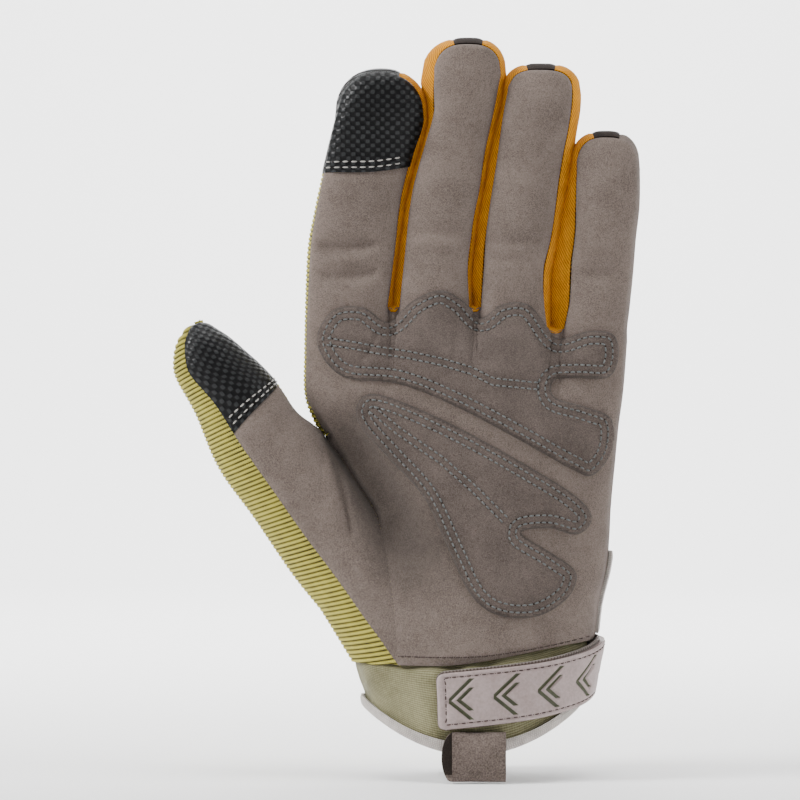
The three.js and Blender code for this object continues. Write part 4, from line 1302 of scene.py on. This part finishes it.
# %% Pad outlines
UPPER_PAD = (
    (-51.4, 139), (-46.3, 149.6), (-36, 150.8), (-27.5, 145.7), (-19, 153), (-10, 156.6),
    (-2.5, 153), (3.8, 147.2), (11, 151.8), (20, 151.5), (27.4, 142.0), (31.5, 140.2),
    (40, 142.8), (48.4, 141.6), (50, 134), (46.5, 127.2), (36, 127), (28.2, 126),
    (28.4, 120.4), (39, 117.2), (47.6, 113), (47.4, 102), (41, 94.2), (33, 97),
    (14, 107.6), (-6, 118), (-24, 125), (-43, 127.6),
)
LOWER_PAD = (
    (-38, 117.2), (-34.2, 121.5), (-25, 119.8), (-6, 111.4), (16, 99.4), (35, 87.6),
    (40.8, 80), (36, 74.5), (26, 76.6), (17, 75), (28, 67.8), (35.4, 61.5), (32.5, 53.2),
    (22, 47.2), (9.4, 47.7), (0.5, 54), (-6.5, 68), (-15.5, 87), (-27, 100), (-36.4, 110.6),
)


def closed_curve(knots, count=10):
    """Smooth closed curve through knots, with count points for each."""
    knots = np.asarray(knots, float)
    before, after, beyond = (np.roll(knots, shift, axis=0) for shift in (1, -1, -2))
    share = (np.arange(count) / count)[None, :, None]
    a, b, c, d = (part[:, None] for part in (before, knots, after, beyond))
    cubic = 2 * b + (c - a) * share + (2 * a - 5 * b + 4 * c - d) * share ** 2
    cubic = (cubic + (3 * b - a - 3 * c + d) * share ** 3) / 2
    return cubic.reshape(-1, 2)


def inside(places, outline):
    """Whether each place is inside a closed outline."""
    x, z = places.T
    crossed = np.zeros(len(places), bool)
    for (x0, z0), (x1, z1) in zip(outline, np.roll(outline, -1, axis=0)):
        spans = (z0 > z) != (z1 > z)
        crossed ^= spans & (x < x0 + (z - z0) * (x1 - x0) / (z1 - z0 if z1 != z0 else 1))
    return crossed


def inset(outline, distance):
    """The outline moved inwards, without the places where it would cross itself."""
    along = np.roll(outline, -1, axis=0) - np.roll(outline, 1, axis=0)
    along /= np.linalg.norm(along, axis=1, keepdims=True)
    inwards = np.stack([along[:, 1], -along[:, 0]], axis=1)
    moved = outline + inwards * distance
    closed = np.concatenate([outline, outline[:1]])
    _, away, _ = nearest_on(moved, closed)
    kept = moved[away > distance - CROSSING_SLACK]
    return np.concatenate([kept, kept[:1]])


print("upper pad outline has", len(closed_curve(UPPER_PAD)), "points")

# %% Pad shape
PAD_PITCH = 0.7
PAD_GAP = 0.1
PAD_RIM = 0.45
PAD_RISE = 1.2
PAD_ROUND = 1.5
PAD_CROWN = 1.1
PAD_REACH = 6.0
PAD_EVEN_RIM = 3
EDGE_CATCH = 0.55
CROSSING_SLACK = 0.08
SEAM_INSETS = (2.0, 4.4)
SEAM_DEPTH = 0.42
SEAM_WIDTH = 0.55
TWIN_GAP = 1.15


def twin(path):
    """Two rows side by side along a path."""
    path = np.asarray(path, float)
    along = np.gradient(path, axis=0)
    along /= np.linalg.norm(along, axis=1, keepdims=True)
    across = np.stack([-along[:, 1], along[:, 0]], axis=1)
    return [path + across * TWIN_GAP, path - across * TWIN_GAP]


def pad_height(distance, places, inner_rows, folds):
    """Height of the pad over the palm, by the distance from its outline."""
    rim = PAD_RIM + PAD_RISE * np.sqrt(1 - (1 - np.minimum(distance / PAD_ROUND, 1)) ** 2)
    height = rim + PAD_CROWN * (1 - np.exp(-distance / PAD_REACH))
    for seam in SEAM_INSETS:
        height -= SEAM_DEPTH * np.exp(-((distance - seam) / SEAM_WIDTH) ** 2)
    for path in inner_rows:
        _, away, _ = nearest_on(places, path)
        height -= SEAM_DEPTH * np.exp(-(away / SEAM_WIDTH) ** 2)
    return height - fold_sum(places, folds)


def cut_grid(outline, pitch):
    """Square grid inside an outline, with its border points moved onto the outline."""
    low, high = outline.min(axis=0) - pitch, outline.max(axis=0) + pitch
    x, z = np.meshgrid(np.arange(low[0], high[0], pitch), np.arange(low[1], high[1], pitch))
    places = np.stack([x.ravel(), z.ravel()], axis=1)
    nearest, distance, _ = nearest_on(places, np.concatenate([outline, outline[:1]]))
    within = inside(places, outline)
    on_edge = distance < EDGE_CATCH * pitch
    places[on_edge] = nearest[on_edge]
    distance = np.where(on_edge, 0, distance)
    index = np.arange(x.size).reshape(x.shape)
    corners = np.stack([index[:-1, :-1], index[:-1, 1:], index[1:, 1:], index[1:, :-1]], -1)
    corners = corners.reshape(-1, 4)
    good = (within | on_edge)[corners]
    corners, good = corners[good.sum(axis=1) >= 3], good[good.sum(axis=1) >= 3]
    centre = (places[corners] * good[..., None]).sum(axis=1) / good.sum(axis=1)[:, None]
    held = inside(centre, outline)
    faces = [row[use].tolist() for row, use in zip(corners[held], good[held])]
    used = np.unique(np.concatenate([np.ravel(face) for face in faces]))
    renumber = np.full(x.size, -1)
    renumber[used] = np.arange(len(used))
    return places[used], distance[used], [[int(renumber[i]) for i in face] for face in faces]


def slab(name, top, bottom, faces):
    """Closed mesh between two copies of the same faces."""
    count = len(top)
    sides = {}
    for face in faces:
        for start, end in zip(face, face[1:] + face[:1]):
            sides[(start, end)] = True
    rim = [(start, end) for start, end in sides if (end, start) not in sides]
    under = [[corner + count for corner in face[::-1]] for face in faces]
    walls = [[end, start, start + count, end + count] for start, end in rim]
    piece = mesh_piece(name, np.concatenate([top, bottom]), faces + under + walls)
    bpy.ops.object.shade_smooth_by_angle(angle=SHARP)
    print(name, len(piece.data.polygons), "faces")
    return piece


palm_ground = palm_sheet.ground()


def make_pad(name, knots, inner_rows, folds, *nodes):
    """A pad on the palm; gives its outline and its ground for stitches."""
    outline = closed_curve(knots)
    places, distance, faces = cut_grid(outline, PAD_PITCH)
    height = pad_height(distance, places, inner_rows, folds)
    landed = [palm_ground.land(*place) for place in places]
    landed = [spot or palm_ground.nearest(*place) for spot, place in zip(landed, places)]
    base = np.array([spot[0] for spot in landed])
    normals = np.array([spot[1] for spot in landed])
    height = height + ripple(base, "pad") * np.minimum(distance / PAD_EVEN_RIM, 1)
    top, bottom = base + normals * height[:, None], base + normals * PAD_GAP
    pad = slab(name, top, bottom, faces)
    pad.data.materials.append(pad_suede)
    pad.data.materials.append(pad_rim_shade)
    # The outer row of faces, the walls and the underside take the darker suede: painted shade along
    # the outline.
    on_rim = np.array([any(distance[corner] == 0 for corner in face) for face in faces])
    kinds = np.concatenate([on_rim, np.ones(len(pad.data.polygons) - len(faces), bool)])
    pad.data.polygons.foreach_set("material_index", kinds.astype(np.int32))
    settle(pad, "pad_suede", *nodes)
    return outline, Ground(top, faces, normals)


UPPER_SEAM = (
    (-48.4, 139.4), (-38.3, 137.8), (-31.6, 136.4), (-20.5, 134.7), (-9.7, 132.4), (0.3, 129.4),
    (7.7, 125.7), (23.0, 124.2),
)
UPPER_FOLDS = (
    (((-30.6, 144.1), (-34, 136), (-37, 129.4)), 0.5, 0.9),
    (((-3.5, 152), (-4.5, 140), (-6, 128)), 0.3, 1.5),
    (((26, 145), (24, 134), (22, 120)), 0.3, 1.5),
)
LOWER_SEAM = ((-33.3, 116.9), (-23.9, 109.2), (-9.7, 99.5), (1.7, 89.4), (11.8, 79.3))
LOWER_FOLDS = ((((-14, 92), (-2, 76), (4, 58)), 0.35, 2.0),)

upper_seams, lower_seams = twin(UPPER_SEAM), twin(LOWER_SEAM)
upper_outline, upper_ground = make_pad(
    "upper_pad", UPPER_PAD, upper_seams, UPPER_FOLDS, "upper_palm_pad"
)
lower_outline, lower_ground = make_pad(
    "lower_pad", LOWER_PAD, lower_seams, LOWER_FOLDS, "lower_palm_pad"
)

# %% Pad stitches
for name, ground, outline, seams in (
    ("upper_pad_stitches", upper_ground, upper_outline, upper_seams),
    ("lower_pad_stitches", lower_ground, lower_outline, lower_seams),
):
    rows = [inset(outline, distance) for distance in SEAM_INSETS] + seams
    sew(name, ground, rows, "pad")

HEM_SEAM = ((-24.0, 33.9), (-7.4, 33.7), (6.0, 34.3), (23.5, 36.9), (41.0, 40.2))
hem_row, _ = open_curve(HEM_SEAM)
sew("palm_hem_stitches", palm_ground, [hem_row], "palm hem", dark_thread, "suede")

# %% [markdown]
# ## Cuff and bindings
# The cuff is an olive elastic with very fine ribs round the wrist. It is tucked under the palm and
# ends in a pale tape that is folded over its edge. The same tape binds the vent's edge. The ribs
# are too fine for shape and are bump, with painted shade between them, while the elastic's soft
# gathers are real shape.

# %% Cuff
CUFF_WALL = 1.8
CUFF_TURNS = 240
CUFF_POWER = 2.3
CUFF_FOLD = 0.4
BINDING_WALL = 1.0
BINDING_SLOT = 0.45
BINDING_HEIGHT = 4.3
BINDING_ROUND = 1.4
TAPE_WALL = 0.9
TAPE_STITCH_ROW = 1.1
VENT_LIFT = 1.42


def oval(turn, z, half_width, front, back):
    across = np.cos(turn)
    depth = np.where(np.sin(turn) < 0, -front, back)
    y = depth * np.sqrt(np.maximum(0, 1 - np.abs(across) ** CUFF_POWER))
    return stack(CUFF_MIDDLE + half_width * across, y, z)


def hem_height(turn):
    facing = np.sin(turn)
    return HEM_SIDE - np.where(facing < 0, HEM_DIP, HEM_BACK_DIP) * facing ** 2


def cuff_point(turn, height):
    half_width = follow(CUFF, "half_width", height)
    top = palm_hem(CUFF_MIDDLE + half_width * np.cos(turn)) + CUFF_TUCK
    z = mix(hem_height(turn) + BINDING_WALL + 0.3, top, height)
    return oval(turn, z, half_width, follow(CUFF, "front", height), follow(CUFF, "back", height))


def round_wrist(rows, point):
    turn = steps(CUFF_TURNS, 0, 2 * np.pi)
    points = point(turn, rows_of(rows))
    points[:, -1] = points[:, 0]
    return points


elastic = Finish("cuff_fabric", roughness=0.7, sheen=0.08)
cord = elastic.v.wave(0.65)
stitch = elastic.u.wave(0.9)
# Painted shade: the cords are lighter and the grooves between them darker in the colour.
tone = cord * 0.4 + stitch * 0.12 + (elastic.noise(14.0) - 0.5) * 0.9
tone = (tone + (elastic.noise(1.2) - 0.5) * 0.4 + 0.15).ramp(0.0, 1.0)
relief = cord * 0.8 + stitch * 0.2
cuff_fabric = elastic.tinted(tone, (88, 84, 58), (150, 146, 112), relief, depth=0.12)

cuff_sheet = sheet_of(round_wrist(steps(60), cuff_point))
turns = np.arctan2(cuff_sheet.points[:, 1], cuff_sheet.points[:, 0])
gathers = CUFF_FOLD * np.sin(turns * 11 + 0.9 * np.sin(turns * 4))
cuff_sheet.lift(gathers + ripple(cuff_sheet.points, "cuff"))
cuff_sheet.make("elastic_cuff", CUFF_WALL, cuff_fabric, "cuff_fabric", "cuff")

# %% Hem and vent bindings
tape = Finish("binding_tape", roughness=0.6, sheen=0.2)
weave = tape.u.wave(0.8) * tape.v.wave(0.6)
tone = (weave * 0.5 + (tape.noise(3.0) - 0.5) * 0.7 + 0.4).ramp(0.0, 1.0)
binding_tape = tape.tinted(tone, (140, 133, 127), (200, 192, 186), weave, depth=0.15)

ROLL = steps(14, 0, math.pi)


def binding_section():
    """Outward and upward places of the folded tape, from its outer edge round to its inner one."""
    outside = BINDING_SLOT + BINDING_WALL
    inside_edge = -CUFF_WALL - BINDING_SLOT - BINDING_WALL
    middle, half = (outside + inside_edge) / 2, (outside - inside_edge) / 2
    bulge = 0.25 * np.sin(steps(6, 0, math.pi))
    up = steps(6, BINDING_HEIGHT, BINDING_ROUND)
    roll = middle + half * np.cos(ROLL), BINDING_ROUND * (1 - np.sin(ROLL))
    out = np.concatenate([outside + bulge, roll[0], np.full(3, inside_edge)])
    return out, np.concatenate([up, roll[1], [2, 3, BINDING_HEIGHT]])


def binding_point(turn, place):
    out, up = (rows_of(part) for part in binding_section())
    return oval(
        turn, hem_height(turn) + up, CUFF["half_width"][0] + out,
        CUFF["front"][0] + out, CUFF["back"][0] + out,
    )


def tape_seam(below):
    """Path round the wrist on the tape's outside, a little below its upper edge."""
    turn = np.linspace(0, 2 * np.pi, 400)
    out = BINDING_SLOT + BINDING_WALL + 0.2
    reach = (CUFF[side][0] + out for side in ("half_width", "front", "back"))
    return oval(turn, hem_height(turn) + BINDING_HEIGHT - below, *reach)


tape_sheet = sheet_of(round_wrist(binding_section()[0], binding_point))
tape_sheet.make("hem_tape", -TAPE_WALL, binding_tape, "binding_tape", "hem_binding")
tape_ground = tape_sheet.ground()
tape_row = tape_seam(TAPE_STITCH_ROW)
sew("tape_stitches", tape_ground, [tape_row], "tape", bright_thread, "binding_tape")

VENT_HEIGHTS = (40.5, 68.5)
VENT_SHARES = (0.3, 0.95)
hem_z, root_z = palm_points(root_line("front")[:, [-1]], rows_of([0, 1]), "front")[:, 0, 2]
vent_rows = (np.array(VENT_HEIGHTS) - hem_z) / (root_z - hem_z)
front, back, swell = side_rows(1, 60)
rows = np.linspace(*vent_rows, 40)
front, back = (
    np.stack([np.interp(rows, steps(60), part[:, axis]) for axis in range(3)], axis=1)
    for part in (front, back)
)
share = np.linspace(*VENT_SHARES, 14)[None, :, None]
points = mix(front[:, None], back[:, None], share) + swell * np.sin(np.pi * share)
vent_sheet = sheet_of(points)
vent_sheet.lift(VENT_LIFT)
vent_sheet.sink_edges("vent tape")
vent_sheet.make("vent_tape", BINDING_WALL, binding_tape, "binding_tape", "vent_binding")

# %% [markdown]
# ## Wrist strap
# The strap is moulded rubber with a sewn border and pairs of nested chevrons that point to its free
# end. Its surface is one fine grid, and the border, the seam and the chevrons are pressed into it
# by formulas on the place along and across the strap. Cutting them with a Boolean would leave ragged
# edges on a band that is bent round the wrist.

# %% Strap shape
STRAP_WIDTH = 19
STRAP_CORNER = 2.6
STRAP_TOP = 3.3
STRAP_WALL = 2.0
STRAP_PITCH = 0.4
CHEVRON_FIRST = 3.7
CHEVRON_PITCH = 14.5
CHEVRON_COUNT = 8
CHEVRON_WIDTH = 0.58
CHEVRON_DEPTH = 0.7
CHEVRON_ARM = (7.0, 6.6)
INNER_SHIFT = 3.2
INNER_ARM = (4.0, 3.5)
BORDER_END = 2.6
BORDER_SIDE = 1.5
BORDER_DEPTH = 0.35
BORDER_WIDTH = 0.4
STRAP_ROUND = 0.55
STRAP_CROWN = 0.12
CROWN_REACH = 2.5
WEB_WALL = 0.8


def strap_point(turn, across):
    z = follow(STRAP_ROUTE, "middle", turn) + across * STRAP_WIDTH / 2
    seat = (follow(STRAP_SEAT, column, z) for column in ("half_width", "front", "back"))
    return oval(np.radians(turn), z, *seat)


def strap_grid(pitch, wider=0.0):
    """Strap points with their length from the free end and height from the middle, in mm."""
    first, last = STRAP_ROUTE["turn"][0], STRAP_ROUTE["turn"][-1]
    fine = np.linspace(first, last, 600)
    middle = strap_point(fine, np.zeros_like(fine))
    reached = reached_along(middle)
    half = STRAP_WIDTH / 2
    v = rows_of(np.linspace(-half, half, round(STRAP_WIDTH / pitch) + 1))
    corner = np.maximum(0, np.abs(v) - half + STRAP_CORNER)
    start = STRAP_CORNER - np.sqrt(STRAP_CORNER ** 2 - corner ** 2)
    u = mix(start - wider, reached[-1], steps(round(reached[-1] / pitch)))
    turn = np.interp(u, reached, fine)
    turn = turn + np.minimum(u, 0) * (fine[1] - fine[0]) / reached[1]
    points = strap_point(turn, v / half * (1 + wider / half))
    return points, np.stack(np.broadcast_arrays(u, v), axis=-1)


def line_distance(places, start, end):
    along = np.clip((places - start) @ (end - start) / ((end - start) @ (end - start)), 0, 1)
    return np.linalg.norm(places - start - along[:, None] * (end - start), axis=1)


def chevron_share(places):
    """1 inside a chevron's grooves and 0 outside, with a soft edge."""
    best = np.full(len(places), 99.0)
    for index in range(CHEVRON_COUNT):
        apex = CHEVRON_FIRST + index * CHEVRON_PITCH
        for shift, (reach, rise) in ((0, CHEVRON_ARM), (INNER_SHIFT, INNER_ARM)):
            for side in (-1, 1):
                start = np.array([apex + shift, 0.0])
                end = start + [reach, rise * side]
                best = np.minimum(best, line_distance(places, start, end))
    return 1 - smooth_step(CHEVRON_WIDTH - 0.25, CHEVRON_WIDTH + 0.25, best)


def border_share(places):
    """Distance to the sewn line inside the strap's border."""
    u, v = places.T
    inner = STRAP_WIDTH / 2 - BORDER_SIDE - np.abs(v)
    return np.minimum(inner, u - BORDER_END)


points, pattern = strap_grid(STRAP_PITCH)
strap_sheet = Sheet((points, pattern, False))
groove = chevron_share(strap_sheet.pattern)
seam = border_share(strap_sheet.pattern)
rounding = STRAP_ROUND * np.exp(-(strap_sheet.edge_distance() / STRAP_ROUND) ** 2)
line = BORDER_DEPTH * np.exp(-(seam / BORDER_WIDTH) ** 2)
height = STRAP_TOP - CHEVRON_DEPTH * groove - line - rounding
strap_sheet.lift(height + STRAP_CROWN * smooth_step(0, CROWN_REACH, seam))
strap_ground = strap_sheet.ground()
print("strap is", round(float(strap_sheet.pattern[:, 0].max()), 1), "mm long")

# %% Strap finish and backing
rubber = Finish("strap_rubber", roughness=0.5)
rubber.shader.inputs["Specular IOR Level"].default_value = 0.45
arm = rubber.v.math("ABSOLUTE") * (CHEVRON_ARM[0] / CHEVRON_ARM[1])
local = (rubber.u - CHEVRON_FIRST).math("FLOORED_MODULO", CHEVRON_PITCH)
SLOPE = CHEVRON_ARM[1] / math.hypot(*CHEVRON_ARM)


def band(offset, longest):
    """1 on a chevron's arm, by the distance across it and along it."""
    away = ((local - offset - arm) * SLOPE).math("ABSOLUTE")
    ends = rubber.v.math("ABSOLUTE").ramp(longest + 0.5, longest + 0.3)
    return away.ramp(CHEVRON_WIDTH + 0.1, CHEVRON_WIDTH - 0.1) * ends


chevron = band(0.0, CHEVRON_ARM[1]).math("MAXIMUM", band(INNER_SHIFT, INNER_ARM[1]))
last_chevron = CHEVRON_FIRST + CHEVRON_COUNT * CHEVRON_PITCH - 1
chevron = chevron * rubber.u.ramp(last_chevron + 0.5, last_chevron)
bloom = rubber.noise(6.0) * 0.5 + rubber.noise(0.9) * 0.5
rubber_colour = rubber.blend(bloom.ramp(0.25, 0.75), srgb(138, 122, 119), srgb(160, 144, 141))
groove_colour = rubber.blend(rubber.noise(1.5), srgb(36, 38, 18), srgb(72, 76, 48))
rubber_colour = rubber.blend(chevron, rubber_colour, groove_colour)
strap_rubber = rubber.finish(rubber_colour, rubber.noise(0.35), depth=0.03)
strap_sheet.make("strap_rubber", STRAP_WALL, strap_rubber, "strap_rubber", "wrist_strap")

inner = STRAP_WIDTH / 2 - BORDER_SIDE
ends = np.linspace(inner, -inner, 20)
sides = np.linspace(BORDER_END, strap_sheet.pattern[:, 0].max() - 1, 300)
border = [(u, inner) for u in sides[::-1]] + [(BORDER_END, v) for v in ends]
border += [(u, -inner) for u in sides]
near_pattern = tree_of([(u, v, 0) for u, v in strap_sheet.pattern])
border_path = strap_sheet.points[[near_pattern.find((u, v, 0))[1] for u, v in border]]
sew("strap_stitches", strap_ground, [border_path], "strap", dark_thread, "strap_rubber")

webbing = Finish("strap_webbing", roughness=0.9, sheen=0.2)
threads = webbing.u.wave(1.1) * webbing.v.wave(0.9)
strap_webbing = webbing.tinted(threads, (96, 86, 80), (150, 138, 130), threads)
points, pattern = strap_grid(STRAP_PITCH * 2, wider=0.4)
backing_sheet = Sheet((points, pattern, False))
backing_sheet.lift(WEB_WALL)
backing_sheet.make("strap_web", WEB_WALL, strap_webbing, "strap_webbing", "strap_backing")

# %% [markdown]
# ## Pull loop
# A short suede band hangs under the hem, folded into a flat loop. A box with a hole would look
# stiff, so the band's path is drawn from the side and swept across. Its back layer is set a little
# further to the left than its front, so the open end shows.

# %% Pull loop
LOOP_PATH = (
    (-27.4, 9.2), (-28.7, 7.8), (-29.7, 5.0), (-30.1, 1.0), (-30.1, -3.0), (-29.5, -5.7),
    (-28.3, -7.3), (-27.1, -6.8), (-26.4, -4.8), (-26.1, -1.0), (-26.0, 3.0), (-26.1, 7.0),
    (-26.4, 8.8),
)
LOOP_LEFT = -6.2
LOOP_OPEN = 3.5
LOOP_RIGHT = 11.7
LOOP_WALL = 1.0
LOOP_FOLD = 18.0
LOOP_MIDDLE = -27.5

path, reached = open_curve(LOOP_PATH)
behind = np.clip((reached - LOOP_FOLD) / (reached[-1] - LOOP_FOLD), 0, 1)
left = LOOP_LEFT - LOOP_OPEN * np.sqrt(np.sin(np.pi * behind) + 1e-9)
share = steps(36)
x = mix(left[:, None], LOOP_RIGHT, share)
points = stack(x, path[:, :1], path[:, 1:])
points[..., 1] += 0.25 * np.sin(x * 0.45 + 1) * (reached < LOOP_FOLD)[:, None]
loop_sheet = Sheet((points, along_pattern(points), True))
pull_loop = loop_sheet.make("suede_loop", LOOP_WALL, loop_suede, "loop_suede", "pull_loop")
# Painted shade: the inner face of the loop's back layer takes a much darker suede.
pull_loop.data.materials.append(suede("loop_inside_shade", light=(52, 44, 39), dark=(26, 21, 18)))
for polygon in pull_loop.data.polygons:
    within = polygon.center.y > LOOP_MIDDLE * MILLIMETRE and polygon.normal.y < -0.5
    polygon.material_index = 1 if within else 0

# %% [markdown]
# ## Studio
# The photograph has a white ground and soft light from all round, a little stronger from the upper
# left. A wide sweep of pale paper stands under and behind the glove, lit by the world and four
# panels. They are large, because a small lamp throws hard shadows.

# %% Sweep and lights
FLOOR_LEVEL = -0.008
FAR_EDGE = 1.8
PAPER_WIDTH = 6
PAPER_LENGTH = 3.8
PAPER_HEIGHT = 3
PAPER_BEND = 0.5
PAPER_STEPS = 24
PAPER_TONE = (0.92, 0.92, 0.92, 1)
ROOM_LIGHT = 0.29

bpy.ops.mesh.primitive_plane_add(size=1, location=(0, 0, 0))
sweep = bpy.context.object
sweep.name = "paper_sweep"
bpy.ops.object.mode_set(mode="EDIT")
bpy.ops.transform.resize(value=(PAPER_WIDTH, PAPER_LENGTH, 1))
bpy.ops.transform.translate(value=(0, FAR_EDGE - PAPER_LENGTH / 2, FLOOR_LEVEL))
bpy.ops.object.mode_set(mode="OBJECT")
for vertex in sweep.data.vertices:
    vertex.select = vertex.co.y > FAR_EDGE / 2
for edge in sweep.data.edges:
    edge.select = all(sweep.data.vertices[corner].select for corner in edge.vertices)
for polygon in sweep.data.polygons:
    polygon.select = False
bpy.ops.object.mode_set(mode="EDIT")
bpy.ops.mesh.extrude_region_move(TRANSFORM_OT_translate={"value": (0, 0, PAPER_HEIGHT)})
bpy.ops.object.mode_set(mode="OBJECT")
bpy.ops.object.modifier_add(type="BEVEL")
bend = sweep.modifiers[-1]
bend.width = PAPER_BEND
bend.segments = PAPER_STEPS
bpy.ops.object.modifier_apply(modifier=bend.name)
bpy.ops.object.shade_smooth()
paper = bpy.data.materials.new("paper")
paper.use_nodes = True
paper_shader = paper.node_tree.nodes["Principled BSDF"]
paper_shader.inputs["Base Color"].default_value = PAPER_TONE
paper_shader.inputs["Roughness"].default_value = 0.9
sweep.data.materials.append(paper)

world = bpy.data.worlds.new("soft_room")
world.use_nodes = True
sky = world.node_tree.nodes["Background"]
sky.inputs["Color"].default_value = (1, 1, 1, 1)
sky.inputs["Strength"].default_value = ROOM_LIGHT
bpy.context.scene.world = world

# Name, place in metres, turn in degrees, size in metres and power in watts.
PANELS = (
    ("key_panel", (-1.3, -0.4, 1.0), (58, 0, -73), 0.5, 36),
    ("fill_panel", (1.3, -0.45, 0.7), (67, 0, 71), 0.8, 12.5),
    ("top_panel", (0.0, -0.2, 1.5), (0, 0, 0), 0.6, 15),
    ("wall_panel", (0.0, 0.7, 1.3), (55, 0, 0), 1.4, 74),
)
for name, place, turn, size, power in PANELS:
    angles = [math.radians(angle) for angle in turn]
    bpy.ops.object.light_add(type="AREA", location=place, rotation=angles)
    panel = bpy.context.object
    panel.name = name
    panel.data.size = size
    panel.data.energy = power
print(len(PANELS), "light panels")
